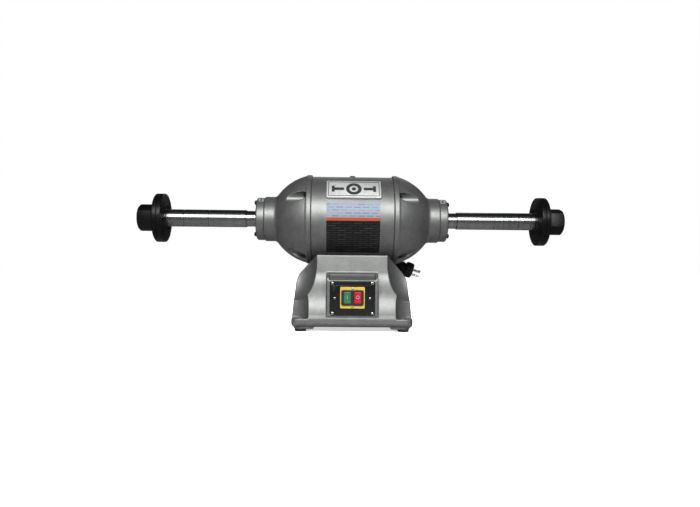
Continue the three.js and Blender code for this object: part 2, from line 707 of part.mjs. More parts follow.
function buildCord() {
  const start = BASE_HALF + RELIEF_LENGTH + 3 * GAP;
  tube([[CORD_EXIT_X, start, CORD_EXIT_Z], [CORD_EXIT_X, 160, 29.4], [-42, 179, 21], [-33.3, 192.3, 11],
    [-20.3, 201, 6.2], [-5, 204, 5.3], [20, 204, 5.3], [50, 204, 5.3], [75, 204, 5.3],
    [90, 204, 5.3], [108, 198.6, 5.3], [122.6, 184, 5.3], [128, 164, 5.3], [122.6, 144, 5.3],
    [110, 130.6, 5.3], [100, 125.8, 5.3]], 'power_cord');
  tube([[44.5, 146.5, 127.2], [55, 152.5, 130], [66, 156.8, 131.2], [77, 159.5, 131],
    [88, 160, 129.8],    [PLUG.x - 0.8, PLUG.y, PLUG.z + 0.28]], 'power_cord_plug_end');
}

function buildCoil() {
  const half = COIL.width / 2;
  const profile = [[COIL.inner, -half], [COIL.outer, -half], [COIL.outer, half],
    [COIL.inner, half], [COIL.inner, -half]];
  const geometry = new THREE.LatheGeometry(profile.map(([r, y]) => new THREE.Vector2(r, y)), 32);
  geometry.translate(COIL.x, COIL.y, COIL.z);
  addMesh('cord_coil', geometry, rubber);
}

// moulded three-blade plug: tapered tail, ribbed grip, flat face and blades
function buildPlug() {
  const profile = [[0, 0], [6.2, 0], [7.5, 18], [13, 24], [17, 30], [18, 36], [18, 50],
    [17, 52.5], [0, 52.5]];
  const geometry = new THREE.LatheGeometry(profile.map(([r, l]) => new THREE.Vector2(r, l)), 18);
  geometry.rotateZ(-Math.PI / 2);
  let body = solid(geometry);
  body = body.add(solid(box(50, 70, -7.4, -5.8, 1, 7.4)));
  body = body.add(solid(box(50, 70, 5.8, 7.4, 1, 7.4)));
  body = body.add(solid(rodX(2.4, 50, 72, 0, -7, 12)));
  const shaped = toGeometry(body);
  shaped.rotateY(THREE.MathUtils.degToRad(PLUG.slope));
  shaped.translate(PLUG.x, PLUG.y, PLUG.z);
  addMesh('mains_plug', shaped, rubber);
}

// ---- assembly ----
buildBase();
buildFeet();
buildBottomCover();
buildShell();
buildShellPlug();
for (const side of [-1, 1]) {
  buildEndBell(side);
  buildBearingCap(side);
  buildCapScrews(side);
  buildBearing(side);
  buildSpacers(side);
  buildFlanges(side);
  buildNut(side);
}
buildTieBolts();
buildStator();
buildShaft();
buildRotor();
buildSwitch();
buildButton('start_button', -1, greenPlastic);
buildButton('stop_button', 1, redPlastic);
buildCapacitor();
buildBadge();
buildLabel();
buildStrainRelief();
buildCord();
buildCoil();
buildPlug();

export default root;
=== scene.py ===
import math
import bmesh
import bpy
from mathutils import Matrix, Vector


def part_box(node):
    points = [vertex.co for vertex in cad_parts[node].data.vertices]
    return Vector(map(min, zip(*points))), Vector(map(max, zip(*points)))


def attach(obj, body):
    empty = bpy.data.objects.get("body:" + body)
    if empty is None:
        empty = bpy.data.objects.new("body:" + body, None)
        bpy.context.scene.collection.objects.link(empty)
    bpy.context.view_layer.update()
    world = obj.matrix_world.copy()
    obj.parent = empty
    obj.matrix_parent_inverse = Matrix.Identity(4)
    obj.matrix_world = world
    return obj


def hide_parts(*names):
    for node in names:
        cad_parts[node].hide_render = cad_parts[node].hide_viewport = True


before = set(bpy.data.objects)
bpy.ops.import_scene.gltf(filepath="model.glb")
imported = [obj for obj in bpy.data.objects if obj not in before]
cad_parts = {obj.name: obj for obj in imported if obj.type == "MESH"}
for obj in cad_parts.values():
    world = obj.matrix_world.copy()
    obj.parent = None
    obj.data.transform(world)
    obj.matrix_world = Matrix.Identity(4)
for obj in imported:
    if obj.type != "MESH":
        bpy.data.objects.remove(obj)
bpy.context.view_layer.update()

MM = 0.001
GAP = 0.3

# ---- dimensions of the part, in millimetres and degrees ----
AXIS_Z = 220.0
SHELL_R = 88.3
SHELL_HALF = 81.4
BAND_R = 91.8
BAND_IN_X = 81.7
BAND_OUT_X = 92.7
DOME_R = 108.4
DOME_X = 65.1
DOME_Z = -14.7
BELL_BORE_R = 77.0
SPIGOT_R = 82.1
NECK_R = 46.0
NECK_OUT_X = 178.5
BEARING_SEAT_X = 157.3
CAP_R = 43.8
CAP_IN_X = 178.8
CAP_OUT_X = 195.5
CAP_SCREW_RING = 37.0
CAP_SCREW_ANGLES = (60, 180, 300)
TIE_R = 77.5
TIE_ANGLES = (30, 120, 210, 300)
SCOOP_R = 10.5
SCOOP_X = 91.4
SHOULDER_R = 16.3
JOURNAL_R = 16.6
JOURNAL_IN_X = 157.9
JOURNAL_OUT_X = 176.3
ROTOR_SHAFT_R = 20.0
ARBOR_R = 12.7
SPACER_R = 17.8
FLANGE_R = 50.0
FLANGE_HUB_R = 29.0
FLANGE_CONE = 3.8
NUT_FLATS = 47.8
NUT_TURN = {"left": 31.0, "right": 21.0}
BASE_HALF = 117.0
BASE_TOP_Z = 147.0
SKIRT_TOP_Z = 25.0
SKIRT_BOTTOM_Z = 9.0
SKIRT_CORNER_R = 14.0
PAD_BOTTOM_Z = 4.8
PAD_SIZE = 46.0
PAD_EDGE = 112.0
POCKET_CENTRE = 114.0
POCKET_R = 30.0
CORNER_CUT_R = 47.8
CORNER_CUT_TALL = 80.3
CORNER_CUT = (115.0, 95.0, 135.0)
BOLT_CENTRE = 99.0
PANEL_Z = 65.0
SWITCH_Z = 66.2
BASE_WALL = 8.0
BOSS_HALF = 49.0
COVE_HALF = 45.0
FLUTE_R = 46.0
FLUTE_X = 124.0
FLUTE_Z = 76.0
SWITCH_OPENING = (43.4, 30.0)
LABEL_LINE_TOP = 0.0
LABEL_LINE_BOTTOM = -6.2
LABEL_ANGLES = (-49.3, 19.9)
BADGE_SIZE = (108.0, 45.4)
BADGE_R = 91.5
BADGE_ANGLE = 38.8
BADGE_X = 1.9
SHELL_PLUG_X = 0.5
STICKER_ANGLE = 58.0
CORD_R = 5.0
COIL_X = 66.0
COIL_Z = 68.0
COIL_Y = (124.0, 134.0)
TIE_INNER = 37.0
TIE_OUTER = 69.0
TIE_DEPTH = 22.4
PLUG_SLOPE = 19.5
CAMERA_LENS = 33.1
CAMERA_PLACE = (-0.030, -1.340, 0.150)
CAMERA_YAW = -1.152
CAMERA_ROLL = 0.575
WORLD_LIGHT = 0.03
FLOOR_HALF = 3.0
FLOOR_GLOW = 0.62
SIDES = {"left": -1, "right": 1}
CORNERS = {"front_left": (-1, -1), "front_right": (1, -1), "rear_right": (1, 1), "rear_left": (-1, 1)}


# ---- camera ----
def make_camera():
    data = bpy.data.cameras.new("camera")
    data.lens = CAMERA_LENS
    data.sensor_width = 36.0
    camera = bpy.data.objects.new("camera", data)
    bpy.context.scene.collection.objects.link(camera)
    yaw = Matrix.Rotation(math.radians(CAMERA_YAW), 4, "Z")
    level = Matrix.Rotation(math.radians(90), 4, "X")
    roll = Matrix.Rotation(math.radians(CAMERA_ROLL), 4, "Z")
    place = Matrix.Translation(CAMERA_PLACE)
    camera.matrix_world = place @ yaw @ level @ roll
    bpy.context.scene.camera = camera


# ---- material tools ----
def new_material(name):
    material = bpy.data.materials.new(name)
    material.use_nodes = True
    return material, material.node_tree


def feed(tree, socket, value):
    """Links an output to a socket, or sets the socket to a value."""
    if isinstance(value, bpy.types.NodeSocket):
        tree.links.new(value, socket)
    elif socket.type == "RGBA":
        socket.default_value = (*value, 1.0)
    else:
        socket.default_value = value


def add_node(tree, kind, inputs=None, **settings):
    node = tree.nodes.new(kind)
    for name, value in settings.items():
        setattr(node, name, value)
    for key, value in (inputs or {}).items():
        feed(tree, node.inputs[key], value)
    return node


def object_coords(tree, scale=(1, 1, 1)):
    coords = add_node(tree, "ShaderNodeTexCoord")
    inputs = {"Vector": coords.outputs["Object"], "Scale": scale}
    return add_node(tree, "ShaderNodeMapping", inputs).outputs["Vector"]


def noise(tree, vector, scale, detail, roughness):
    inputs = {"Vector": vector, "Scale": scale, "Detail": detail, "Roughness": roughness}
    return add_node(tree, "ShaderNodeTexNoise", inputs).outputs["Fac"]


def ramp(tree, factor, *stops):
    """A colour ramp through two stops, each (position, colour)."""
    node = add_node(tree, "ShaderNodeValToRGB", {"Fac": factor})
    for element, (position, color) in zip(node.color_ramp.elements, stops):
        element.position = position
        element.color = (*color, 1.0)
    return node.outputs["Color"]


def remap(tree, value, low, high):
    inputs = {"Value": value, "To Min": low, "To Max": high}
    return add_node(tree, "ShaderNodeMapRange", inputs).outputs["Result"]


def mix(tree, factor, first, second):
    """Mixes two colours: the node's inputs 0, 6 and 7 are its factor and its two colours."""
    return add_node(tree, "ShaderNodeMix", {0: factor, 6: first, 7: second}, data_type="RGBA").outputs[2]


def maths(tree, operation, first, second):
    return add_node(tree, "ShaderNodeMath", {0: first, 1: second}, operation=operation).outputs[0]


def scaled(color, factor):
    return tuple(factor * c for c in color)


def finish_material(material, color, roughness, metallic, bumps, specular=0.5):
    """Feeds the shader and chains its bumps, each (height output, strength, distance in metres)."""
    tree = material.node_tree
    shader = tree.nodes["Principled BSDF"]
    feed(tree, shader.inputs["Base Color"], color)
    feed(tree, shader.inputs["Roughness"], roughness)
    shader.inputs["Metallic"].default_value = metallic
    shader.inputs["Specular IOR Level"].default_value = specular
    normal = None
    for height, strength, distance in bumps:
        inputs = {"Height": height, "Strength": strength, "Distance": distance}
        if normal:
            inputs["Normal"] = normal
        normal = add_node(tree, "ShaderNodeBump", inputs).outputs["Normal"]
    if normal:
        tree.links.new(normal, shader.inputs["Normal"])
    return material


# ---- materials ----
def hammered_paint(name, dark, light):
    """Paint with a fine metallic speckle over a faint cloud, on a slightly grained casting."""
    material, tree = new_material(name)
    flat = object_coords(tree)
    cell_inputs = {"Vector": flat, "Scale": 620.0, "Smoothness": 0.6}
    cells = add_node(tree, "ShaderNodeTexVoronoi", cell_inputs, feature="SMOOTH_F1")
    speckle = noise(tree, flat, 900.0, 3.0, 0.7)
    cloud = noise(tree, flat, 55.0, 4.0, 0.6)
    body = ramp(tree, cloud, (0.3, dark), (0.7, light))
    sparkle = ramp(tree, speckle, (0.32, scaled(dark, 0.6)), (0.68, scaled(light, 1.4)))
    color = mix(tree, 0.4, body, sparkle)
    bumps = [(cells.outputs["Distance"], 0.14, 0.0003), (speckle, 0.08, 0.0002), (cloud, 0.1, 0.001)]
    return finish_material(material, color, remap(tree, speckle, 0.4, 0.52), 0.72, bumps)


def ground_steel():
    """Turned and ground steel: fine rings round the arbor axis and a faint stain."""
    material, tree = new_material("ground_steel_finish")
    along = object_coords(tree, (1, 0, 0))
    rings = noise(tree, along, 700.0, 2.0, 0.5)
    bands = noise(tree, along, 90.0, 2.0, 0.5)
    stain = noise(tree, object_coords(tree), 45.0, 3.0, 0.5)
    tone = ramp(tree, bands, (0.35, (0.25, 0.255, 0.26)), (0.65, (0.34, 0.345, 0.35)))
    marks = ramp(tree, stain, (0.3, (0.24, 0.24, 0.24)), (0.7, (0.36, 0.36, 0.355)))
    color = mix(tree, 0.3, tone, marks)
    return finish_material(material, color, remap(tree, rings, 0.2, 0.27), 1.0, [(rings, 0.03, 0.00001)])


def black_oxide(name, tone, roughness):
    """Blackened steel with fine turned rings and a little wear."""
    material, tree = new_material(name)
    rings = noise(tree, object_coords(tree, (1.0, 0.02, 0.02)), 900.0, 2.0, 0.5)
    wear = noise(tree, object_coords(tree), 90.0, 5.0, 0.65)
    dark = (tone, tone, tone * 1.05)
    worn = (tone * 2.2, tone * 2.2, tone * 2.2)
    color = ramp(tree, wear, (0.35, dark), (0.8, worn))
    bumps = [(rings, 0.05, 0.00006), (wear, 0.05, 0.0002)]
    return finish_material(material, color, remap(tree, wear, *roughness), 0.2, bumps, specular=0.22)


def moulded(name, color, roughness, grain, depth):
    """Moulded plastic or rubber: an even colour with faint mottling and a fine moulded grain."""
    material, tree = new_material(name)
    flat = object_coords(tree)
    fine = noise(tree, flat, grain, 2.0, 0.5)
    broad = noise(tree, flat, 60.0, 3.0, 0.5)
    mottled = ramp(tree, broad, (0.3, scaled(color, 0.86)), (0.7, scaled(color, 1.12)))
    return finish_material(material, mottled, remap(tree, fine, *roughness), 0.0, [(fine, depth, 0.0002)])


# colour, roughness from and to, grain, depth of the grain
MOULDED = {
    "rubber": ((0.012, 0.012, 0.013), (0.45, 0.62), 900.0, 0.2),
    "plug": ((0.010, 0.010, 0.011), (0.38, 0.55), 800.0, 0.15),
    "black_plastic": ((0.016, 0.016, 0.018), (0.28, 0.42), 700.0, 0.1),
    "sticker": ((0.26, 0.265, 0.265), (0.35, 0.5), 600.0, 0.04),
    "decal": ((0.02, 0.02, 0.02), (0.4, 0.5), 500.0, 0.05),
    "plate": ((0.004, 0.004, 0.0045), (0.2, 0.3), 1100.0, 0.08),
    "yellow": ((0.62, 0.42, 0.07), (0.3, 0.42), 700.0, 0.08),
    "green": ((0.034, 0.155, 0.07), (0.22, 0.32), 700.0, 0.05),
    "red": ((0.38, 0.013, 0.025), (0.22, 0.32), 700.0, 0.05),
    "mark": ((0.42, 0.42, 0.41), (0.35, 0.45), 500.0, 0.03),
    "emblem": ((0.03, 0.032, 0.035), (0.35, 0.5), 600.0, 0.05),
}


def laminated():
    """Stacked electrical steel: thin sheet edges along the arbor axis."""
    material, tree = new_material("lamination_finish")
    sheets = noise(tree, object_coords(tree, (1.0, 0.01, 0.01)), 1900.0, 1.0, 0.4)
    rust = noise(tree, object_coords(tree), 60.0, 4.0, 0.6)
    tone = ramp(tree, sheets, (0.4, (0.12, 0.12, 0.125)), (0.6, (0.3, 0.3, 0.31)))
    warm = ramp(tree, rust, (0.55, (0.25, 0.25, 0.26)), (0.8, (0.2, 0.15, 0.11)))
    color = mix(tree, 0.35, tone, warm)
    return finish_material(material, color, remap(tree, sheets, 0.4, 0.6), 0.8, [(sheets, 0.4, 0.0002)])


def enamelled_copper():
    """Varnished winding wire, seen as fine strands round the end turns."""
    material, tree = new_material("copper_finish")
    inputs = {"Vector": object_coords(tree), "Scale": 300.0, "Distortion": 3.0}
    strands = add_node(tree, "ShaderNodeTexWave", inputs).outputs["Fac"]
    color = ramp(tree, strands, (0.2, (0.16, 0.05, 0.02)), (0.8, (0.6, 0.24, 0.1)))
    return finish_material(material, color, 0.32, 0.7, [(strands, 0.5, 0.0004)])


def brushed_metal(name, tone, roughness, scale, stretch):
    """Plated or drawn metal: fine scratches along one direction and faint tarnish."""
    material, tree = new_material(name)
    scratches = noise(tree, object_coords(tree, stretch), scale, 3.0, 0.6)
    tarnish = noise(tree, object_coords(tree), 120.0, 4.0, 0.6)
    color = ramp(tree, tarnish, (0.3, scaled(tone, 0.8)), (0.7, tone))
    bumps = [(scratches, 0.15, 0.0001)]
    return finish_material(material, color, remap(tree, scratches, *roughness), 1.0, bumps)


def arc_coords(tree):
    """X along the shell in metres and the arc length round it from the front, as one vector."""
    coords = add_node(tree, "ShaderNodeTexCoord")
    split = add_node(tree, "ShaderNodeSeparateXYZ", {0: coords.outputs["Object"]})
    up = maths(tree, "SUBTRACT", split.outputs["Z"], AXIS_Z * MM)
    forward = maths(tree, "MULTIPLY", split.outputs["Y"], -1.0)
    arc = maths(tree, "MULTIPLY", maths(tree, "ARCTAN2", up, forward), SHELL_R * MM)
    place = add_node(tree, "ShaderNodeCombineXYZ", {"X": split.outputs["X"], "Y": arc})
    return place.outputs[0], arc


def dashes(tree, place, colors, width, row, gap, bias=0.0):
    """Rows of dashes in two tones on a ground, as far apart as the gap."""
    inputs = {"Vector": place, "Scale": 1.0, "Color1": colors[0], "Color2": colors[1], "Mortar": colors[2],
              "Brick Width": width, "Row Height": row, "Mortar Size": gap, "Bias": bias}
    return add_node(tree, "ShaderNodeTexBrick", inputs).outputs["Color"]


def info_film():
    """Printed film on the shell: a blue-grey field, an orange line and a black field with
    faint rules, none of it readable."""
    material, tree = new_material("label_film")
    place, height = arc_coords(tree)
    rule_tones = ((0.04, 0.04, 0.04), (0.012, 0.012, 0.012), (0.006, 0.006, 0.006))
    rules = dashes(tree, place, rule_tones, 0.021, 0.0046, 0.0016, -0.1)
    print_tones = ((0.13, 0.15, 0.19), (0.23, 0.265, 0.33), (0.24, 0.28, 0.35))
    print_marks = dashes(tree, place, print_tones, 0.017, 0.0058, 0.0019)
    above_line = maths(tree, "GREATER_THAN", height, LABEL_LINE_TOP * MM)
    above_black = maths(tree, "GREATER_THAN", height, LABEL_LINE_BOTTOM * MM)
    lower = mix(tree, above_black, rules, (0.36, 0.075, 0.03))
    color = mix(tree, above_line, lower, print_marks)
    wear = noise(tree, place, 300.0, 3.0, 0.6)
    bumps = [(wear, 0.05, 0.0002)]
    return finish_material(material, color, remap(tree, wear, 0.28, 0.42), 0.0, bumps, specular=0.18)


def floor_material():
    """Pale paper that reads as white to the camera. For reflections and for the light that it
    throws back up it is grey under the machine and nearly black further out."""
    material, tree = new_material("floor_paper")
    place = object_coords(tree)
    grain = noise(tree, place, 300.0, 2.0, 0.5)
    pale = ramp(tree, grain, (0.3, (0.84, 0.84, 0.84)), (0.7, (0.88, 0.88, 0.88)))
    distance = add_node(tree, "ShaderNodeVectorMath", {0: place}, operation="LENGTH")
    unseen = ramp(tree, distance.outputs["Value"], (0.28, (0.13, 0.13, 0.13)), (0.7, (0.02, 0.02, 0.02)))
    seen = add_node(tree, "ShaderNodeLightPath").outputs["Is Camera Ray"]
    shader = tree.nodes["Principled BSDF"]
    shader.inputs["Emission Color"].default_value = (1, 1, 1, 1)
    feed(tree, shader.inputs["Emission Strength"], remap(tree, seen, 0.0, FLOOR_GLOW))
    return finish_material(material, mix(tree, seen, unseen, pale), 0.9, 0.0, [])


# ---- mesh tools ----
def link_mesh(name, mesh_data):
    obj = bpy.data.objects.new(name, mesh_data)
    bpy.context.scene.collection.objects.link(obj)
    return obj


def from_bmesh(name, bm, smooth=True):
    bmesh.ops.remove_doubles(bm, verts=bm.verts, dist=1e-7)
    bmesh.ops.recalc_face_normals(bm, faces=bm.faces)
    data = bpy.data.meshes.new(name)
    bm.to_mesh(data)
    bm.free()
    for polygon in data.polygons:
        polygon.use_smooth = smooth
    return link_mesh(name, data)


def skin(bm, loops):
    """Four-sided faces between each loop of corners and the next one."""
    for first, second in zip(loops, loops[1:]):
        for i in range(len(first)):
            j = (i + 1) % len(first)
            bm.faces.new([first[i], first[j], second[j], second[i]])


def lathe(name, profile, segments=128):
    """Turns a list of (x, radius) in millimetres round the X axis at the origin's height.
    A profile that starts and ends off the axis closes on itself."""
    closed = profile[0][1] > 0 and profile[-1][1] > 0
    bm = bmesh.new()
    rings = []
    for x, radius in profile:
        if radius <= 0:
            rings.append([bm.verts.new((x * MM, 0, 0))])
            continue
        ring = []
        for i in range(segments):
            angle = 2 * math.pi * i / segments
            y, z = -radius * MM * math.cos(angle), radius * MM * math.sin(angle)
            ring.append(bm.verts.new((x * MM, y, z)))
        rings.append(ring)
    pairs = list(zip(rings, rings[1:]))
    if closed:
        pairs.append((rings[-1], rings[0]))
    for first, second in pairs:
        for i in range(segments):
            j = (i + 1) % segments
            corners = [first[i % len(first)], first[j % len(first)],
                       second[j % len(second)], second[i % len(second)]]
            unique = list(dict.fromkeys(corners))
            if len(unique) > 2:
                bm.faces.new(unique)
    return from_bmesh(name, bm)


def rounded_profile(points, radius, steps=3):
    """Rounds each inner corner of an open profile by a short arc."""
    result = [points[0]]
    for before, corner, after in zip(points, points[1:], points[2:]):
        a = Vector(before) - Vector(corner)
        b = Vector(after) - Vector(corner)
        reach = min(radius, a.length * 0.45, b.length * 0.45)
        if reach < 0.02 or a.angle(b) > math.radians(170):
            result.append(corner)
            continue
        start = Vector(corner) + a.normalized() * reach
        end = Vector(corner) + b.normalized() * reach
        for i in range(steps + 1):
            t = i / steps
            point = start * (1 - t) ** 2 + Vector(corner) * 2 * t * (1 - t) + end * t ** 2
            result.append((point.x, point.y))
    result.append(points[-1])
    return result


def rounded_loop(points, radius, steps=3):
    """Rounds every corner of a closed profile."""
    longer = [points[-1], *points, points[0]]
    return rounded_profile(longer, radius, steps)[1:-1]


def prism(name, outline, depth):
    """Closed prism of a 2-D outline in millimetres, from z = 0 up to depth."""
    bm = bmesh.new()
    low = [bm.verts.new((a * MM, b * MM, 0)) for a, b in outline]
    high = [bm.verts.new((a * MM, b * MM, depth * MM)) for a, b in outline]
    bm.faces.new(low)
    bm.faces.new(high)
    skin(bm, [low, high])
    return from_bmesh(name, bm, smooth=False)


def rounded_rect(width, height, radius, steps=6):
    points = []
    for cx, cy, start in ((1, -1, -90), (1, 1, 0), (-1, 1, 90), (-1, -1, 180)):
        for i in range(steps + 1):
            angle = math.radians(start + 90 * i / steps)
            points.append((cx * (width / 2 - radius) + radius * math.cos(angle),
                           cy * (height / 2 - radius) + radius * math.sin(angle)))
    return points


def transform(obj, matrix):
    obj.data.transform(matrix)
    return obj


def move(obj, x=0.0, y=0.0, z=0.0):
    return transform(obj, Matrix.Translation((x * MM, y * MM, z * MM)))


def turn(obj, degrees, axis):
    return transform(obj, Matrix.Rotation(math.radians(degrees), 4, axis))


def lay_along_x(prism_piece):
    """Turns a prism that stands on its (a, b) outline so that a is Y, b is Z and it runs along X."""
    turn(prism_piece, 90, "X")
    return turn(prism_piece, 90, "Z")


def front_plate(name, outline, y_front, y_back, x=0.0, z=0.0):
    """A prism of an (x, z) outline between two depths."""
    plate = prism(name, outline, y_back - y_front)
    turn(plate, 90, "X")
    return move(plate, x, y_back, z)


def rod(name, radius, start, end, segments=48):
    """A closed cylinder between two points in millimetres."""
    a, b = Vector(start), Vector(end)
    bm = bmesh.new()
    bmesh.ops.create_cone(bm, cap_ends=True, segments=segments, radius1=radius * MM, radius2=radius * MM,
                          depth=(b - a).length * MM)
    obj = from_bmesh(name, bm)
    spin = (b - a).to_track_quat("Z", "Y").to_matrix().to_4x4()
    return transform(obj, Matrix.Translation((a + b) / 2 * MM) @ spin)


def box(name, low, high):
    bm = bmesh.new()
    bmesh.ops.create_cube(bm, size=1.0)
    obj = from_bmesh(name, bm, smooth=False)
    size = [(h - l) * MM for l, h in zip(low, high)]
    middle = [(h + l) / 2 * MM for l, h in zip(low, high)]
    return transform(obj, Matrix.Translation(middle) @ Matrix.Diagonal((*size, 1)))


def apply_modifiers(obj):
    graph = bpy.context.evaluated_depsgraph_get()
    data = bpy.data.meshes.new_from_object(obj.evaluated_get(graph))
    old = obj.data
    obj.modifiers.clear()
    obj.data = data
    bpy.data.meshes.remove(old)
    return obj


def combine(obj, tools, operation):
    """Joins, cuts or keeps the common part with each closed tool, then deletes the tools."""
    for tool in tools:
        modifier = obj.modifiers.new("combine", "BOOLEAN")
        modifier.operation = operation
        modifier.solver = "MANIFOLD"
        modifier.object = tool
        apply_modifiers(obj)
        bpy.data.objects.remove(tool)
    return obj


def soften(obj, voxel, passes, factor=0.5):
    """Remeshes to an even skin and relaxes it, which rounds the edges as a casting's are."""
    remesh = obj.modifiers.new("remesh", "REMESH")
    remesh.mode = "VOXEL"
    remesh.voxel_size = voxel * MM
    apply_modifiers(obj)
    relax = obj.modifiers.new("relax", "SMOOTH")
    relax.factor = factor
    relax.iterations = passes
    apply_modifiers(obj)
    for polygon in obj.data.polygons:
        polygon.use_smooth = True
    return obj


def bevel(obj, width, segments=2, angle=35.0):
    modifier = obj.modifiers.new("bevel", "BEVEL")
    modifier.width = width * MM
    modifier.segments = segments
    modifier.limit_method = "ANGLE"
    modifier.angle_limit = math.radians(angle)
    modifier.harden_normals = False
    apply_modifiers(obj)
    return obj


def sharp_shading(obj, degrees=35.0):
    """Smooth shading that keeps edges steeper than the angle crisp."""
    data = obj.data
    bm = bmesh.new()
    bm.from_mesh(data)
    for face in bm.faces:
        face.smooth = True
    for edge in bm.edges:
        edge.smooth = len(edge.link_faces) == 2 and edge.calc_face_angle(0) < math.radians(degrees)
    bm.to_mesh(data)
    bm.free()
    return obj


def join(name, objects):
    bm = bmesh.new()
    for obj in objects:
        bm.from_mesh(obj.data)
    data = bpy.data.meshes.new(name)
    bm.to_mesh(data)
    bm.free()
    for obj in objects:
        bpy.data.objects.remove(obj)
    return link_mesh(name, data)


def settle(obj, material, slot, *nodes, body="frame"):
    """Gives a finished piece its material and its body, and hides the CAD nodes it stands for; its record
    slot is not used.
    """
    obj.data.materials.clear()
    obj.data.materials.append(material)
    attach(obj, body)
    if nodes:
        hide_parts(*nodes)
    return obj


def around(radius, degrees):
    """(y, z) in millimetres at a radius and an angle round the arbor: 0 is the front, 90 the top."""
    angle = math.radians(degrees)
    return -radius * math.cos(angle), AXIS_Z + radius * math.sin(angle)


def rods_round(ring_radius, angles, radius, x0, x1, segments):
    """Rods along X, one at each angle of a ring about an arbor that runs through the origin."""
    rods = []
    for angle in angles:
        y, z = around(ring_radius, angle)
        rods.append(rod("rod", radius, (x0, y, z - AXIS_Z), (x1, y, z - AXIS_Z), segments))
    return rods


def on_side(obj, side_name, y=0.0, z=AXIS_Z):
    """Mirrors a piece built for the right side if it belongs on the left, and lifts it to its height."""
    if side_name == "left":
        transform(obj, Matrix.Diagonal((-1, 1, 1, 1)))
        obj.data.flip_normals()
    return move(obj, y=y, z=z)


def face_size(node):
    """The width and height of a node, seen from the front."""
    low, high = box_of(node)
    return high.x - low.x, high.z - low.z


# ---- power cord: the route that part.mjs gives its solids ----
CORD_EXIT = (-45.0, 147.9, 30.0)
CORD_ROUTE = [
    CORD_EXIT, (-45, 160, 29.4), (-42, 179, 21), (-33.3, 192.3, 11), (-20.3, 201, 6.2), (-5, 204, 5.3),
    (20, 204, 5.3), (50, 204, 5.3), (75, 204, 5.3), (90, 204, 5.3), (108, 198.6, 5.3), (122.6, 184, 5.3),
    (128, 164, 5.3), (122.6, 144, 5.3), (110, 130.6, 5.3), (100, 125.8, 5.3), (88, 124, 5.1),
]
PLUG_START = (96.3, 160.0, 127.6)


def coil_points(steps_per_turn=28):
    """Two turns in towards the middle in the front layer, then two turns back out behind them,
    and half a turn more that leaves the coil at the top towards the plug."""
    wide, tight = 62.8, 43.0
    inward, crossing, outward = 2 * 360.0, 199.0, 2 * 360.0
    total = inward + crossing + outward
    count = round(total / 360.0 * steps_per_turn)
    points = []
    for i in range(count + 1):
        swept = total * i / count
        angle = math.radians(-90.0 - swept)
        if swept < inward:
            radius, y = wide + (tight - wide) * swept / inward, COIL_Y[0]
        elif swept < inward + crossing:
            share = (swept - inward) / crossing
            radius, y = tight, COIL_Y[0] + (COIL_Y[1] - COIL_Y[0]) * share
        else:
            share = (swept - inward - crossing) / outward
            radius, y = tight + (wide - tight) * share, COIL_Y[1]
        leave = max(0.0, (swept - (total - 79.0)) / 79.0)
        y += (PLUG_START[1] - COIL_Y[1]) * leave * leave * (3 - 2 * leave)
        points.append((COIL_X + radius * math.cos(angle), y, COIL_Z + radius * math.sin(angle)))
    return points


def make_cord(rubber):
    slope = math.radians(PLUG_SLOPE)
    coil = coil_points()
    end = Vector(PLUG_START) + Vector((math.cos(slope), 0, -math.sin(slope))) * 2.0
    points = [*CORD_ROUTE, *coil[:-1], (88, PLUG_START[1], 128.9), tuple(end)]
    data = bpy.data.curves.new("power_lead", "CURVE")
    data.dimensions = "3D"
    spline = data.splines.new("POLY")
    smooth = smooth_line(points, 3)
    spline.points.add(len(smooth) - 1)
    for slot_point, place in zip(spline.points, smooth):
        slot_point.co = (*(c * MM for c in place), 1.0)
    data.bevel_depth = CORD_R * MM
    data.bevel_resolution = 6
    data.use_fill_caps = True
    cord = link_mesh("power_lead", data)
    data.materials.append(rubber)
    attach(cord, "frame")
    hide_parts("power_cord", "power_cord_plug_end", "cord_coil")
    return cord


def smooth_line(points, steps):
    """Catmull-Rom points through a list of points, with a few steps between each two."""
    ends = [points[0], *points, points[-1]]
    line = []
    for i in range(1, len(ends) - 2):
        a, b, c, d = (Vector(p) for p in ends[i - 1:i + 3])
        for k in range(steps):
            t = k / steps
            line.append(tuple(0.5 * (2 * b + (c - a) * t + (2 * a - 5 * b + 4 * c - d) * t * t
                                     + (3 * b - a - 3 * c + d) * t ** 3)))
    line.append(tuple(points[-1]))
    return line


def make_tie(name, degrees, plastic, reach_back=0.0):
    """A cable tie round the coil's section at one angle, with its square lock outside."""
    outline = rounded_rect(TIE_OUTER - TIE_INNER, TIE_DEPTH + reach_back, 6.0)
    thick, width = 1.1, 4.6
    bm = bmesh.new()
    rings = []
    for grow, along in ((0, -width / 2), (thick, -width / 2), (thick, width / 2), (0, width / 2)):
        loop = []
        for a, b in outline:
            length = math.hypot(a, b)
            scale = (length + grow) / length
            loop.append(bm.verts.new(((TIE_INNER + TIE_OUTER) / 2 * MM + a * scale * MM, along * MM,
                                      (b * scale - reach_back / 2) * MM)))
        rings.append(loop)
    skin(bm, [*rings, rings[0]])
    band = from_bmesh(name, bm, smooth=False)
    lock = box("lock", (TIE_OUTER + 1.0, -3.4, -3.0), (TIE_OUTER + 6.0, 3.4, 3.0))
    tie = join(name, [band, bevel(lock, 0.6)])
    turn(tie, 90, "X")
    turn(tie, -degrees, "Y")
    transform(tie, Matrix.Translation((COIL_X * MM, sum(COIL_Y) / 2 * MM, COIL_Z * MM)))
    return settle(tie, plastic, "black_plastic")


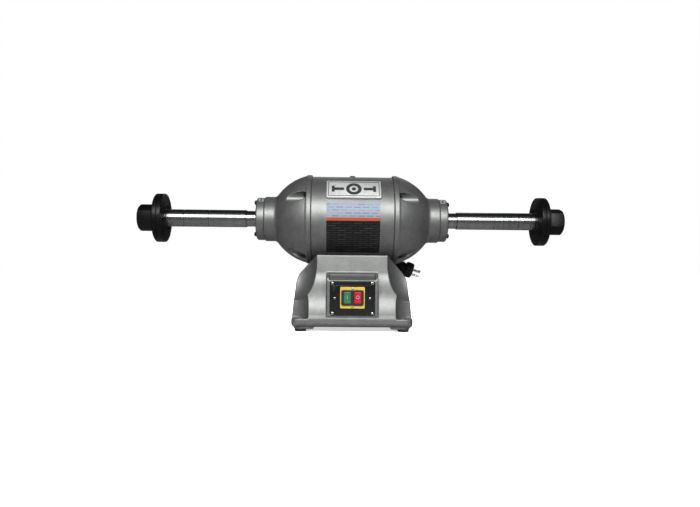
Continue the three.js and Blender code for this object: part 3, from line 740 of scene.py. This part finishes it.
def make_strain_relief(rubber):
    low, high = box_of("strain_relief")
    reach = high.y - BASE_HALF
    inside = low.y - BASE_HALF
    profile = [(inside, 0), (inside, 6.2), (GAP, 6.2), (GAP, 9.5), (3.3, 9.5), (5.0, 7.9)]
    rings = 5
    pitch = (reach - 9.0) / rings
    for i in range(rings):
        x = 6.5 + i * pitch
        radius = 7.7 - 1.4 * i / rings
        profile += [(x, radius), (x + pitch * 0.55, radius - 0.15),
                    (x + pitch * 0.6, radius - 1.1), (x + pitch * 0.95, radius - 1.2)]
    profile += [(reach - 1.5, 6.1), (reach, 5.6), (reach, 0)]
    sleeve = lathe("cord_strain_relief", rounded_profile(profile, 0.5), 48)
    turn(sleeve, 90, "Z")
    move(sleeve, CORD_EXIT[0], BASE_HALF, CORD_EXIT[2])
    return settle(sharp_shading(sleeve), rubber, "cord_rubber", "strain_relief")


def make_plug(plastic, blade_metal):
    """Moulded plug: tapered tail, ribbed grip, domed face rim and three blades."""
    profile = [(0, 0), (0, 6.2), (14, 7.2), (17, 9.0), (21, 13.0), (24, 14.6), (29, 15.2), (30.5, 13.4),
               (33.5, 13.4), (35, 17.2), (37, 18), (49.5, 18), (52.5, 15.5), (52.5, 0)]
    body = lathe("plug_body", rounded_profile(profile, 0.8), 96)
    grooves = []
    for k in range(14):
        angle = 2 * math.pi * (k + 0.5) / 14
        y, z = 18.8 * math.cos(angle), 18.8 * math.sin(angle)
        grooves.append(rod("groove", 2.0, (33, y, z), (56, y, z), 20))
    combine(body, grooves, "DIFFERENCE")
    sides = [box("flat", (26, y0, -30), (49, y1, 30)) for y0, y1 in ((-40, -17.2), (17.2, 40))]
    combine(body, sides, "DIFFERENCE")
    blades = [bevel(box("blade", (50, y - 0.8, 1), (70, y + 0.8, 7.4)), 0.5) for y in (-6.6, 6.6)]
    pin = lathe("pin", [(50, 0), (50, 2.4), (70.6, 2.4), (72, 1.2), (72, 0)], 24)
    move(pin, z=-7)
    prongs = join("plug_blades", [*blades, pin])
    for piece in (body, prongs):
        turn(piece, PLUG_SLOPE, "Y")
        move(piece, *PLUG_START)
    body.name = "plug_body"
    settle(sharp_shading(bevel(body, 0.5)), plastic, "plug_plastic", "mains_plug")
    settle(sharp_shading(prongs), blade_metal, "ground_steel")
    return body, prongs


def box_of(node):
    """A node's lowest and highest corner in millimetres."""
    low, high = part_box(node)
    return low / MM, high / MM


# ---- pedestal base ----
def bezier(points, count):
    line = []
    for i in range(count + 1):
        t = i / count
        layer = [Vector(p) for p in points]
        while len(layer) > 1:
            layer = [a * (1 - t) + b * t for a, b in zip(layer, layer[1:])]
        line.append(tuple(layer[0]))
    return line


def close_outline(half, inset):
    """Mirrors a half outline of (half width, height) and moves its walls and top in by the inset."""
    right = [(a - inset, min(z, BASE_TOP_Z - inset)) for a, z in half]
    if inset:
        right[-1] = (right[-1][0], right[-1][1] - 2 * inset)
    left = [(-a, z) for a, z in reversed(right)]
    return left + right


def skirt_edge(inset):
    """The upright skirt, with its lower edge turned in on the outside only."""
    if inset:
        return [(BASE_HALF, SKIRT_TOP_Z), (BASE_HALF, SKIRT_BOTTOM_Z)]
    turned_in = bezier([(BASE_HALF, 17), (BASE_HALF, 11), (BASE_HALF - 6, SKIRT_BOTTOM_Z)], 8)
    return [(BASE_HALF, SKIRT_TOP_Z), *turned_in]


def front_outline(inset):
    sweep = bezier([(83, 112), (87, 84), (110, 72), (115.5, 32)], 28)
    return [(80, BASE_TOP_Z), *sweep, *skirt_edge(inset)]


def side_outline(inset):
    shoulder = bezier([(99, 115), (110, 104), (111.5, 88)], 14)
    return [(70, BASE_TOP_Z), *shoulder, (115, 45), *skirt_edge(inset)]


def pyramid(inset):
    """The common part of the two side outlines and the square plan."""
    half = BASE_HALF + 10
    along_x = along_front("along_x", close_outline(front_outline(inset), inset), half)
    along_y = front_plate("along_y", close_outline(side_outline(inset), inset), -half, half)
    side = 2 * (BASE_HALF - inset)
    plan = prism("plan", rounded_rect(side, side, SKIRT_CORNER_R), 200)
    move(plan, z=-30)
    return combine(along_x, [along_y, plan], "INTERSECT")


def corner_cut(sx, sy, grow):
    """The upright cut with a long round lower end that narrows the front above the pocket."""
    x, y, z = CORNER_CUT
    radius, tall = CORNER_CUT_R + grow, CORNER_CUT_TALL + grow
    quarter = [math.radians(3.0 * i) for i in range(31)]
    profile = [(-tall * math.cos(a), radius * math.sin(a)) for a in quarter]
    cut = lathe("corner_cut", [*profile, (60, radius), (60, 0)], 96)
    turn(cut, -90, "Y")
    return move(cut, sx * x, sy * y, z)


def side_flute(sx, grow):
    """The shallow round recess in the middle of a side."""
    bm = bmesh.new()
    bmesh.ops.create_uvsphere(bm, u_segments=72, v_segments=48, radius=(FLUTE_R + grow) * MM)
    flute = from_bmesh("side_flute", bm)
    transform(flute, Matrix.Diagonal((0.5, 1, 1, 1)))
    return move(flute, sx * FLUTE_X, 0, FLUTE_Z)


def along_front(name, outline, half_width):
    """A (depth, height) outline pushed along X, the same to both sides."""
    return move(lay_along_x(prism(name, outline, 2 * half_width)), x=-half_width)


def switch_boss():
    """The raised panel for the switch, with a cove above the plate between two horns."""
    horn = bezier([(-104, 110), (-115, 107), (-BASE_HALF, 98.6)], 10)
    boss = along_front("boss", [(-40, 30), (-40, 112), (-84, 112), *horn, (-BASE_HALF, 30)], BOSS_HALF)
    hollow = bezier([(-93.6, 112.4), (-96.5, 102.5), (-111.5, 100)], 12)
    outline = [(-BASE_HALF - 3, 98.6), (-BASE_HALF - 3, 120), (-93, 120), *hollow]
    return combine(boss, [along_front("cove", outline, COVE_HALF)], "DIFFERENCE")


def make_base(paint):
    body = pyramid(0)
    hollow = pyramid(BASE_WALL)
    for sx, sy in CORNERS.values():
        x, y = sx * POCKET_CENTRE, sy * POCKET_CENTRE
        pocket = rod("pocket", POCKET_R, (x, y, SKIRT_TOP_Z), (x, y, 150), 96)
        combine(body, [corner_cut(sx, sy, 0), pocket], "DIFFERENCE")
        pocket = rod("pocket", POCKET_R + BASE_WALL, (x, y, -50), (x, y, 160), 64)
        combine(hollow, [corner_cut(sx, sy, BASE_WALL), pocket], "DIFFERENCE")
    for sx in SIDES.values():
        combine(body, [side_flute(sx, 0)], "DIFFERENCE")
        combine(hollow, [side_flute(sx, BASE_WALL)], "DIFFERENCE")
    cradle = rod("cradle", SHELL_R + BASE_WALL, (-150, 0, AXIS_Z), (150, 0, AXIS_Z), 96)
    combine(hollow, [cradle], "DIFFERENCE")
    pads = []
    for sx, sy in CORNERS.values():
        pad = prism("pad", rounded_rect(PAD_SIZE, PAD_SIZE, SKIRT_CORNER_R), 10)
        edge = PAD_EDGE - PAD_SIZE / 2
        pads.append(move(pad, sx * edge, sy * edge, PAD_BOTTOM_Z))
    combine(body, [switch_boss(), *pads], "UNION")
    cuts = [hollow, rod("cradle", SHELL_R + GAP, (-150, 0, AXIS_Z), (150, 0, AXIS_Z), 192)]
    for side in SIDES.values():
        cuts.append(rod("band_room", BAND_R + 0.8, (side * (BAND_IN_X - 0.5), 0, AXIS_Z),
                        (side * 150, 0, AXIS_Z), 192))
    cuts.append(box("panel_hole", (-24, -130, SWITCH_Z - 20), (24, -70, SWITCH_Z + 20)))
    for sx, sy in CORNERS.values():
        x, y = sx * BOLT_CENTRE, sy * BOLT_CENTRE
        cuts.append(rod("bolt_hole", 6, (x, y, -1), (x, y, 60), 32))
    x, _, z = CORD_EXIT
    cuts.append(rod("cord_hole", 6.6, (x, 87, z), (x, 147, z), 32))
    combine(body, cuts, "DIFFERENCE")
    body.name = "base_casting_skin"
    soften(body, 1.1, 5)
    return settle(body, paint, "grey_paint", "base_casting")


def make_feet(rubber):
    for name, (sx, sy) in CORNERS.items():
        profile = [(0, 4.6), (0, 10.2), (0.8, 11), (4.0, 11), (4.5, 10.6), (4.5, 5.7), (9, 5.7), (9, 4.6)]
        foot = lathe(f"foot_{name}", rounded_loop(profile, 0.3), 48)
        turn(foot, -90, "Y")
        move(foot, sx * BOLT_CENTRE, sy * BOLT_CENTRE, 0)
        settle(sharp_shading(foot), rubber, "rubber", f"rubber_foot_{name}")


# ---- motor ----
def dome_arc(thickness, from_x, to_x, steps):
    radius = DOME_R - thickness
    points = []
    for i in range(steps + 1):
        x = from_x + (to_x - from_x) * i / steps
        points.append((x, DOME_Z + math.sqrt(radius ** 2 - (x - DOME_X) ** 2)))
    return points


def make_shell(paint):
    inner = SHELL_R - 5.9
    profile = [(-SHELL_HALF, inner), (-SHELL_HALF, SHELL_R - 0.5), (-SHELL_HALF + 0.5, SHELL_R),
               (SHELL_HALF - 0.5, SHELL_R), (SHELL_HALF, SHELL_R - 0.5), (SHELL_HALF, inner)]
    shell = lathe("shell_tube", profile, 256)
    combine(shell, [rod("hole", 3.1, (SHELL_PLUG_X, 0, 60), (SHELL_PLUG_X, 0, 100), 24)], "DIFFERENCE")
    move(shell, z=AXIS_Z)
    return settle(sharp_shading(shell), paint, "grey_paint", "motor_shell")


def make_shell_plug(metal):
    profile = [(-5, 0), (-5, 2.7), (0.8, 2.7), (0.8, 6), (1.5, 6), (2.3, 5.2), (2.8, 3.6), (2.9, 2.2),
               (1.6, 2.0), (1.6, 0)]
    plug = lathe("shell_plug", rounded_profile(profile, 0.3), 40)
    turn(plug, -90, "Y")
    move(plug, SHELL_PLUG_X, 0, AXIS_Z + SHELL_R)
    return settle(sharp_shading(plug), metal, "black_steel", "shell_plug_screw")


def bell_outer():
    band = [(BAND_IN_X, 0), (BAND_IN_X, BAND_R - 1.4), (BAND_IN_X + 1.4, BAND_R), (BAND_OUT_X - 1.6, BAND_R),
            (BAND_OUT_X - 0.4, BAND_R - 0.8)]
    neck = [(154, 47.9), (156, 46.6), (159, NECK_R), (NECK_OUT_X - 1, NECK_R), (NECK_OUT_X, NECK_R - 1),
            (NECK_OUT_X, 0)]
    return [*band, *dome_arc(0, BAND_OUT_X, 152, 24), *neck]


def bell_inner():
    return [(BAND_IN_X - 1, 0), (BAND_IN_X - 1, BELL_BORE_R), (BAND_OUT_X - 4, BELL_BORE_R),
            *dome_arc(7, BAND_OUT_X, 144, 14), (152, 40), (155, 27), (155, 0)]


def make_bell(side_name, paint):
    body = lathe("bell", bell_outer(), 192)
    spigot_in, spigot_out = BAND_IN_X - 7, BAND_IN_X + 1
    spigot_profile = [(spigot_in, BELL_BORE_R), (spigot_in, SPIGOT_R), (spigot_out, SPIGOT_R),
                      (spigot_out, BELL_BORE_R)]
    combine(body, [lathe("spigot", spigot_profile, 128)], "UNION")
    hollow = lathe("hollow", bell_inner(), 128)
    combine(hollow, rods_round(TIE_R + 2, TIE_ANGLES, SCOOP_R + 5, 70, 150, 48), "DIFFERENCE")
    seat = rod("bearing_seat", 33, (BEARING_SEAT_X, 0, 0), (190, 0, 0), 96)
    cuts = [hollow, seat, rod("shaft_hole", 25, (150, 0, 0), (170, 0, 0), 64)]
    for angle in TIE_ANGLES:
        cuts += rods_round(TIE_R + 3, [angle], SCOOP_R, SCOOP_X, 160, 64)
        cuts += rods_round(TIE_R, [angle], 3.4, 60, 110, 24)
    cuts += rods_round(CAP_SCREW_RING, CAP_SCREW_ANGLES, 2.8, 165, 190, 24)
    combine(body, cuts, "DIFFERENCE")
    soften(body, 1.15, 3)
    body.name = f"end_bell_skin_{side_name}"
    on_side(body, side_name)
    return settle(body, paint, "grey_paint", f"end_bell_{side_name}")


def make_bearing_cap(side_name, paint):
    profile = [(CAP_IN_X, 18), (CAP_IN_X, CAP_R - 0.6), (CAP_IN_X + 0.6, CAP_R), (CAP_OUT_X - 2.4, CAP_R),
               (CAP_OUT_X, CAP_R - 2.4), (CAP_OUT_X, 24), (CAP_OUT_X - 1.2, 22.8), (CAP_OUT_X - 1.2, 18)]
    cap = lathe(f"cap_cover_{side_name}", rounded_loop(profile, 0.7), 160)
    combine(cap, rods_round(CAP_SCREW_RING, CAP_SCREW_ANGLES, 2.8, 170, 210, 24), "DIFFERENCE")
    on_side(cap, side_name)
    return settle(sharp_shading(cap), paint, "grey_paint", f"bearing_cap_{side_name}")


def make_cap_screws(side_name, metal):
    start = CAP_OUT_X + GAP
    dome = [(0, 4.9), (0.9, 4.9), (2.6, 4.2), (3.7, 2.9), (3.9, 2.0), (3.9, 0)]
    profile = [(169, 0), (169, 2), (start, 2), *((start + x, r) for x, r in dome)]
    for i, angle in enumerate(CAP_SCREW_ANGLES):
        screw = lathe(f"cap_button_screw_{side_name}_{i + 1}", rounded_profile(profile, 0.4), 36)
        combine(screw, [rod("socket", 1.75, (start + 1.6, 0, 0), (start + 6, 0, 0), 6)], "DIFFERENCE")
        on_side(screw, side_name, *around(CAP_SCREW_RING, angle))
        settle(sharp_shading(screw), metal, "black_steel", f"cap_screw_{side_name}_{i + 1}")


def hex_bar(name, corner_r, x0, x1, corner_angle):
    """A six-sided bar along X, with one corner at an angle from +Y towards +Z."""
    angles = [math.radians(corner_angle + 60 * k) for k in range(6)]
    bar = prism(name, [(corner_r * math.cos(a), corner_r * math.sin(a)) for a in angles], x1 - x0)
    return move(lay_along_x(bar), x=x0)


def make_tie_bolts(metal):
    seat = SCOOP_X + GAP
    for i, angle in enumerate(TIE_ANGLES):
        parts = [rod("shank", 2.9, (-seat, 0, 0), (seat, 0, 0), 32)]
        for side_name in SIDES:
            under, top = seat + 0.9, seat + 4.9
            washer = lathe("washer", [(seat, 0), (seat, 6.3), (under, 6.3), (under, 0)], 40)
            head = hex_bar("head", 5.4, under, top, 90)
            crown = lathe("crown", [(seat, 0), (seat, 5.6), (seat + 3.9, 5.6), (top, 4.5), (top, 0)], 40)
            combine(head, [crown], "INTERSECT")
            parts += [on_side(piece, side_name, z=0) for piece in (washer, head)]
        bolt = join(f"through_bolt_{i + 1}", parts)
        y, z = around(TIE_R, angle)
        move(bolt, 0, y, z)
        settle(sharp_shading(bolt), metal, "black_steel", f"tie_bolt_{i + 1}")


# ---- arbor ----
def make_shaft(metal):
    end = box_of("arbor_shaft")[1].x
    stack = box_of("spacer_right_1")[0].x - GAP
    half = [(end, 0), (end, ARBOR_R - 2), (end - 2, ARBOR_R), (stack, ARBOR_R),
            (stack, SHOULDER_R - 0.5), (stack - 0.5, SHOULDER_R), (JOURNAL_OUT_X, SHOULDER_R),
            (JOURNAL_OUT_X, JOURNAL_R), (JOURNAL_IN_X, JOURNAL_R), (JOURNAL_IN_X, ROTOR_SHAFT_R)]
    left = [(-x, r) for x, r in half]
    shaft = lathe("shaft_bar", [*left, *reversed(half)], 96)
    move(shaft, z=AXIS_Z)
    return settle(sharp_shading(shaft, 20), metal, "ground_steel", "arbor_shaft", body="arbor")


def make_spacers(side_name, metal):
    for i in (1, 2, 3, 4):
        node = f"spacer_{side_name}_{i}"
        low, high = box_of(node)
        bore, edge = ARBOR_R + GAP, 0.3
        profile = [(low.x, bore), (low.x, SPACER_R - edge), (low.x + edge, SPACER_R),
                   (high.x - edge, SPACER_R), (high.x, SPACER_R - edge), (high.x, bore)]
        spacer = lathe(f"sleeve_{side_name}_{i}", profile, 128)
        move(spacer, z=AXIS_Z)
        settle(sharp_shading(spacer, 20), metal, "ground_steel", node, body="arbor")


def span_from_middle(node):
    """Where a node of the arbor starts and ends, counted outwards from the middle of the machine."""
    low, high = box_of(node)
    return sorted((abs(low.x), abs(high.x)))


def make_flanges(side_name, metal):
    """Two discs with their flat sides together; the inner one is a shallow cone towards the motor."""
    start, back = span_from_middle(f"inner_flange_{side_name}")
    face = start + FLANGE_CONE
    bore = ARBOR_R + GAP
    inner = [(start, bore), (start, FLANGE_HUB_R - 0.6), (start + 0.3, FLANGE_HUB_R),
             (face - 0.3, FLANGE_R - 2), (face, FLANGE_R - 0.8), (face + 0.8, FLANGE_R),
             (back - 0.5, FLANGE_R), (back, FLANGE_R - 0.5), (back, bore)]
    start, end = span_from_middle(f"outer_flange_{side_name}")
    outer = [(start, bore), (start, FLANGE_R - 0.5), (start + 0.5, FLANGE_R), (end - 1.5, FLANGE_R),
             (end, FLANGE_R - 1.5), (end, 31), (end - 0.8, 30), (end - 0.8, 28.5), (end, 27.5), (end, bore)]
    for kind, profile in (("inner", inner), ("outer", outer)):
        disc = lathe(f"{kind}_flange_disc_{side_name}", rounded_loop(profile, 0.7), 160)
        on_side(disc, side_name)
        settle(sharp_shading(disc, 32), metal, "black_steel", f"{kind}_flange_{side_name}", body="arbor")


def make_nut(side_name, metal):
    start, end = span_from_middle(f"arbor_nut_{side_name}")
    across = NUT_FLATS / math.sqrt(3)
    nut = hex_bar("hex", across, start, end, NUT_TURN[side_name])
    crown = [(start - 1, 0), (start - 1, across - 0.8), (start + 1.2, across + 1), (end - 5.2, across + 1),
             (end - 2.0, across - 1.4), (end, across - 4.6), (end, 0)]
    combine(nut, [lathe("crown", crown, 160)], "INTERSECT")
    bevel(nut, 0.7, 3, 25)
    bore = ARBOR_R + GAP
    thread = [(start - 1, 0), (start - 1, bore), (end - 1.2, bore), (end + 1, ARBOR_R + 2.5), (end + 1, 0)]
    combine(nut, [lathe("bore", thread, 96)], "DIFFERENCE")
    nut.name = f"hex_nut_{side_name}"
    on_side(nut, side_name)
    return settle(sharp_shading(nut, 24), metal, "black_steel", f"arbor_nut_{side_name}", body="arbor")


# ---- switch ----
def pan_head(name, radius, height, slot_width=0.9):
    """A pan-head screw with a cross recess, facing -Y, its seat at y = 0."""
    profile = [(0, 0), (0, radius), (height * 0.35, radius), (height * 0.8, radius * 0.72),
               (height, radius * 0.3), (height, 0)]
    head = lathe(name, rounded_profile(profile, 0.5), 36)
    turn(head, -90, "Z")
    long, wide = radius * 0.62, slot_width / 2
    recess = []
    for x, z in ((long, wide), (wide, long)):
        recess.append(box("recess", (-x, -height - 1, -z), (x, -height * 0.35, z)))
    return combine(head, recess, "DIFFERENCE")


def ring_plate(name, outline, y_front, y_back, edge, z, hole):
    """A front plate at one height with an opening for the switch, and softened edges."""
    plate = front_plate(name, outline, y_front, y_back, z=z)
    combine(plate, [front_plate("hole", hole, y_front - 9, y_back + 9, z=SWITCH_Z)], "DIFFERENCE")
    return bevel(plate, edge, 3, 40)


def make_switch_plate(plate_paint, screw_metal):
    low, high = box_of("switch_plate")
    width, height = face_size("switch_plate")
    opening = rounded_rect(*SWITCH_OPENING, 0.6)
    face = low.y + 0.6
    outline = rounded_rect(width, height, 5)
    plate = ring_plate("switch_plate_face", outline, face, high.y, 0.5, PANEL_Z, opening)
    outline = rounded_rect(width - 9, height - 15, 3)
    raised = ring_plate("raised", outline, low.y, high.y - 0.5, 0.45, PANEL_Z, opening)
    combine(plate, [raised], "UNION")
    settle(sharp_shading(plate), plate_paint, "black_plate", "switch_plate")
    for name, (sx, sz) in CORNERS.items():
        screw = pan_head(f"plate_screw_{name}", 3.1, 1.9)
        turn(screw, 20 + 37 * sx + 11 * sz, "Y")
        move(screw, sx * 38, face, PANEL_Z + sz * 28.6)
        settle(sharp_shading(screw), screw_metal, "ground_steel")
    for name, sx in SIDES.items():
        screw = pan_head(f"mount_screw_{name}", 2.1, 1.0, 0.6)
        turn(screw, 45 * sx, "Y")
        move(screw, sx * 33.5, low.y, PANEL_Z)
        settle(sharp_shading(screw), screw_metal, "ground_steel")


def make_bezel(yellow, small_metal):
    low, high = box_of("switch_bezel")
    outline = rounded_rect(*face_size("switch_bezel"), 1.6)
    opening = rounded_rect(42.6, 29, 3)
    bezel = ring_plate("yellow_bezel", outline, low.y, high.y, 0.6, SWITCH_Z, opening)
    settle(sharp_shading(bezel), yellow, "yellow_plastic", "switch_bezel")
    for name, z in (("top", SWITCH_Z + 17.2), ("bottom", SWITCH_Z - 17.2)):
        screw = pan_head(f"bezel_screw_{name}", 2.0, 1.1, 0.6)
        turn(screw, 45, "Y")
        move(screw, 0, low.y, z)
        settle(sharp_shading(screw), small_metal, "ground_steel")


def make_button_frame(black):
    low, high = box_of("button_frame")
    outline = rounded_rect(*face_size("button_frame"), 4)
    frame_piece = front_plate("button_surround", outline, low.y, high.y, z=SWITCH_Z)
    holes = []
    for node in ("start_button", "stop_button"):
        a, b = box_of(node)
        outline = rounded_rect(b.x - a.x + 0.9, b.z - a.z + 0.9, 2.2)
        holes.append(front_plate("hole", outline, -200, -60, (a.x + b.x) / 2, SWITCH_Z))
    combine(frame_piece, holes, "DIFFERENCE")
    bevel(frame_piece, 0.7, 3, 40)
    return settle(sharp_shading(frame_piece), black, "black_plastic", "button_frame")


def make_button(name, plastic, white, slot, mark):
    """A push button with a shallow dished face and its raised mark: a bar for on, a ring for off."""
    low, high = box_of(name)
    x = (low.x + high.x) / 2
    cap = front_plate(f"{name}_cap", rounded_rect(*face_size(name), 2.0), low.y, high.y, x, SWITCH_Z)
    dish = lathe("dish", [(-60, 0), (-60, 59.2), (60, 59.2), (60, 0)], 200)
    move(dish, x, low.y - 58.6, SWITCH_Z)
    combine(cap, [dish], "DIFFERENCE")
    bevel(cap, 0.8, 3, 40)
    settle(sharp_shading(cap), plastic, slot, name, body=name)
    if mark == "bar":
        outline = rounded_rect(0.8, 6.6, 0.4)
        sign = front_plate(f"{name}_mark", outline, low.y + 0.3, low.y + 1.4, x, SWITCH_Z + 1)
    else:
        sign = lathe(f"{name}_mark", [(-1.4, 2.5), (-1.4, 3.2), (-0.3, 3.2), (-0.3, 2.5)], 40)
        turn(sign, 90, "Z")
        move(sign, x, low.y + 1.7, SWITCH_Z + 1)
    settle(bevel(sign, 0.12), white, slot, body=name)


# ---- badge and label ----
def on_shell(obj, degrees, x=0.0):
    """Turns a piece built facing -Y about the arbor axis to its place on the shell."""
    turn(obj, -degrees, "X")
    return move(obj, x=x, z=AXIS_Z)


def make_badge(silver, dark):
    """A plain raised plate with a border and a wheel on its arbor as emblem."""
    width, height = BADGE_SIZE
    face, front = -BADGE_R, -BADGE_R - 0.35
    plate = front_plate("badge_pad", rounded_rect(width, height, 2.4), face, -80)
    combine(plate, [rod("shell", SHELL_R + GAP, (-90, 0, 0), (90, 0, 0), 192)], "DIFFERENCE")
    bevel(plate, 1.3, 3, 50)
    border = front_plate("border", rounded_rect(width - 7, height - 7, 1.6), front, face + 1)
    hole = front_plate("hole", rounded_rect(width - 9.4, height - 9.4, 1.0), face - 5, face + 5)
    combine(border, [hole], "DIFFERENCE")
    parts = [border]
    for r0, r1 in ((0.0, 4.2), (8.6, 15.4)):
        profile = [(-0.35, r0), (-0.35, r1), (1, r1), (1, r0)]
        disc = lathe("ring", profile, 96)
        turn(disc, 90, "Z")
        parts.append(move(disc, y=face))
    for sx in SIDES.values():
        for x0, x1, half in ((19.5, 38.0, 3.4), (38.0, 43.5, 8.0)):
            low_x, high_x = sorted((sx * x0, sx * x1))
            parts.append(box("arm", (low_x, front, -half), (high_x, face + 1, half)))
    emblem = join("badge_emblem", parts)
    settle(on_shell(sharp_shading(plate), BADGE_ANGLE, BADGE_X), silver, "badge", "badge_plate")
    settle(on_shell(sharp_shading(emblem), BADGE_ANGLE, BADGE_X), dark, "black_plate")


def make_label(film):
    low, high = box_of("info_label")
    (angle_from, angle_to), count = LABEL_ANGLES, 90
    outer, inner = SHELL_R + 0.8, SHELL_R + 0.36
    bm = bmesh.new()
    loops = []
    for i in range(count + 1):
        angle = angle_from + (angle_to - angle_from) * i / count
        loop = []
        for x, radius in ((low.x, inner), (low.x, outer), (high.x, outer), (high.x, inner)):
            y, z = around(radius, angle)
            loop.append(bm.verts.new((x * MM, y * MM, z * MM)))
        loops.append(loop)
    skin(bm, loops)
    bm.faces.new(loops[0])
    bm.faces.new(loops[-1])
    label = from_bmesh("label_film_sheet", bm)
    return settle(sharp_shading(label), film, "label", "info_label")


def make_arrow(side_name, strip_paint, black):
    """The small sticker on each bearing cap's rim: a light strip with a black down arrow."""
    middle = (CAP_IN_X + CAP_OUT_X - 2.4) / 2 * SIDES[side_name]
    strip = prism(f"spin_sticker_{side_name}", rounded_rect(10.4, 13.0, 0.8), 0.5)
    turn(strip, 90, "X")
    combine(move(strip, y=-CAP_R), [rod("rim", CAP_R + 0.02, (-20, 0, 0), (20, 0, 0), 160)], "DIFFERENCE")
    outline = [(-1.0, 4.8), (-1.0, -0.4), (-3.2, -0.4), (0, -4.6), (3.2, -0.4), (1.0, -0.4), (1.0, 4.8)]
    arrow = prism(f"spin_arrow_{side_name}", outline, 0.5)
    turn(arrow, 90, "X")
    move(arrow, y=-CAP_R - 0.12)
    settle(on_shell(strip, STICKER_ANGLE, middle), strip_paint, "label")
    settle(on_shell(arrow, STICKER_ANGLE, middle), black, "black_plate")


# ---- stage ----
def area_light(name, size, energy, place, target, size_y=None):
    data = bpy.data.lights.new(name, "AREA")
    data.shape = "RECTANGLE"
    data.size = size
    data.size_y = size_y or size
    data.energy = energy
    light = bpy.data.objects.new(name, data)
    bpy.context.scene.collection.objects.link(light)
    light.location = place
    light.rotation_mode = "QUATERNION"
    light.rotation_quaternion = (Vector(target) - Vector(place)).to_track_quat("-Z", "Y")
    return light


def make_world():
    """White where the camera sees it, a faint cool grey as light."""
    world = bpy.data.worlds.new("studio")
    world.use_nodes = True
    tree = world.node_tree
    tree.nodes.clear()
    seen = add_node(tree, "ShaderNodeBackground", {"Color": (1, 1, 1), "Strength": 1.0})
    lit = add_node(tree, "ShaderNodeBackground", {"Color": (0.9, 0.93, 1), "Strength": WORLD_LIGHT})
    camera_ray = add_node(tree, "ShaderNodeLightPath").outputs["Is Camera Ray"]
    choice = add_node(tree, "ShaderNodeMixShader", {0: camera_ray, 1: lit.outputs[0], 2: seen.outputs[0]})
    add_node(tree, "ShaderNodeOutputWorld", {"Surface": choice.outputs[0]})
    bpy.context.scene.world = world


def make_stage():
    """A wide pale floor, a broad light in front, weak ones beside and behind, and one for the floor alone."""
    bm = bmesh.new()
    bmesh.ops.create_grid(bm, x_segments=2, y_segments=2, size=FLOOR_HALF)
    floor = from_bmesh("floor", bm, smooth=False)
    floor.data.materials.append(floor_material())
    middle = (0, 0, 0.2)
    area_light("key", 1.9, 51, (-0.06, -1.5, 1.04), middle, 0.7)
    area_light("left", 0.5, 1.0, (-1.7, -0.9, 0.8), middle)
    area_light("right", 0.5, 1.0, (1.7, -0.9, 0.8), middle)
    area_light("back", 1.2, 3.5, (0.2, 1.8, 1.3), middle)
    above = area_light("above_floor", 5.0, 260, (0, 0, 3.0), (0, 0, 0))
    only_floor = bpy.data.collections.new("floor_only")
    only_floor.objects.link(floor)
    above.light_linking.receiver_collection = only_floor
    make_world()
    bpy.context.scene.view_settings.view_transform = "Standard"


# ---- the whole machine ----
def dress_hidden_nodes(materials):
    """The inner CAD nodes keep their shape and get their materials."""
    groups = {
        "lamination": ["stator_core", "rotor_core"],
        "copper": ["stator_winding_left", "stator_winding_right"],
        "steel": [f"bearing_{ring}_ring_{side}" for ring in ("outer", "inner") for side in SIDES],
        "black_plastic": ["switch_body"],
        "can": ["run_capacitor"],
        "cover": ["bottom_cover"],
    }
    for key, nodes in groups.items():
        for node in nodes:
            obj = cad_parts[node]
            obj.data.materials.clear()
            obj.data.materials.append(materials[key])


def build_cord(rubber, plug_plastic, tie_plastic, plated):
    cord = make_cord(rubber)
    relief = make_strain_relief(rubber)
    plug, prongs = make_plug(plug_plastic, plated)
    side_tie = make_tie("coil_tie_side", 180.0, tie_plastic)
    top_tie = make_tie("coil_tie_top", 112.0, tie_plastic, 22.0)


def build():
    make_camera()
    made = {name: moulded(f"{name}_finish", *values) for name, values in MOULDED.items()}
    plated = brushed_metal("plated_finish", (0.66, 0.66, 0.65), (0.16, 0.3), 900.0, (1, 1, 0.1))
    build_cord(made["rubber"], made["plug"], made["black_plastic"], plated)

    paint = hammered_paint("hammered_paint", (0.135, 0.14, 0.135), (0.205, 0.21, 0.205))
    steel = ground_steel()
    oxide = black_oxide("black_oxide_finish", 0.003, (0.3, 0.4))
    screw_black = black_oxide("screw_finish", 0.006, (0.3, 0.45))
    make_base(paint)
    make_feet(made["rubber"])
    make_shell(paint)
    make_shell_plug(screw_black)
    make_tie_bolts(screw_black)
    make_shaft(steel)
    for side_name in SIDES:
        make_bell(side_name, paint)
        make_bearing_cap(side_name, paint)
        make_cap_screws(side_name, screw_black)
        make_arrow(side_name, made["sticker"], made["decal"])
        make_spacers(side_name, steel)
        make_flanges(side_name, oxide)
        make_nut(side_name, oxide)

    make_switch_plate(made["plate"], plated)
    make_bezel(made["yellow"], plated)
    make_button_frame(made["black_plastic"])
    make_button("start_button", made["green"], made["mark"], "green_plastic", "bar")
    make_button("stop_button", made["red"], made["mark"], "red_plastic", "ring")
    silver = brushed_metal("badge_finish", (0.78, 0.79, 0.78), (0.5, 0.64), 500.0, (0.05, 1, 1))
    make_badge(silver, made["emblem"])
    make_label(info_film())
    dress_hidden_nodes({
        "lamination": laminated(),
        "copper": enamelled_copper(),
        "steel": steel,
        "black_plastic": made["black_plastic"],
        "can": brushed_metal("can_finish", (0.6, 0.61, 0.62), (0.25, 0.4), 600.0, (0.1, 1, 1)),
        "cover": hammered_paint("cover_paint", (0.02, 0.02, 0.021), (0.035, 0.035, 0.036)),
    })
    make_stage()


build()
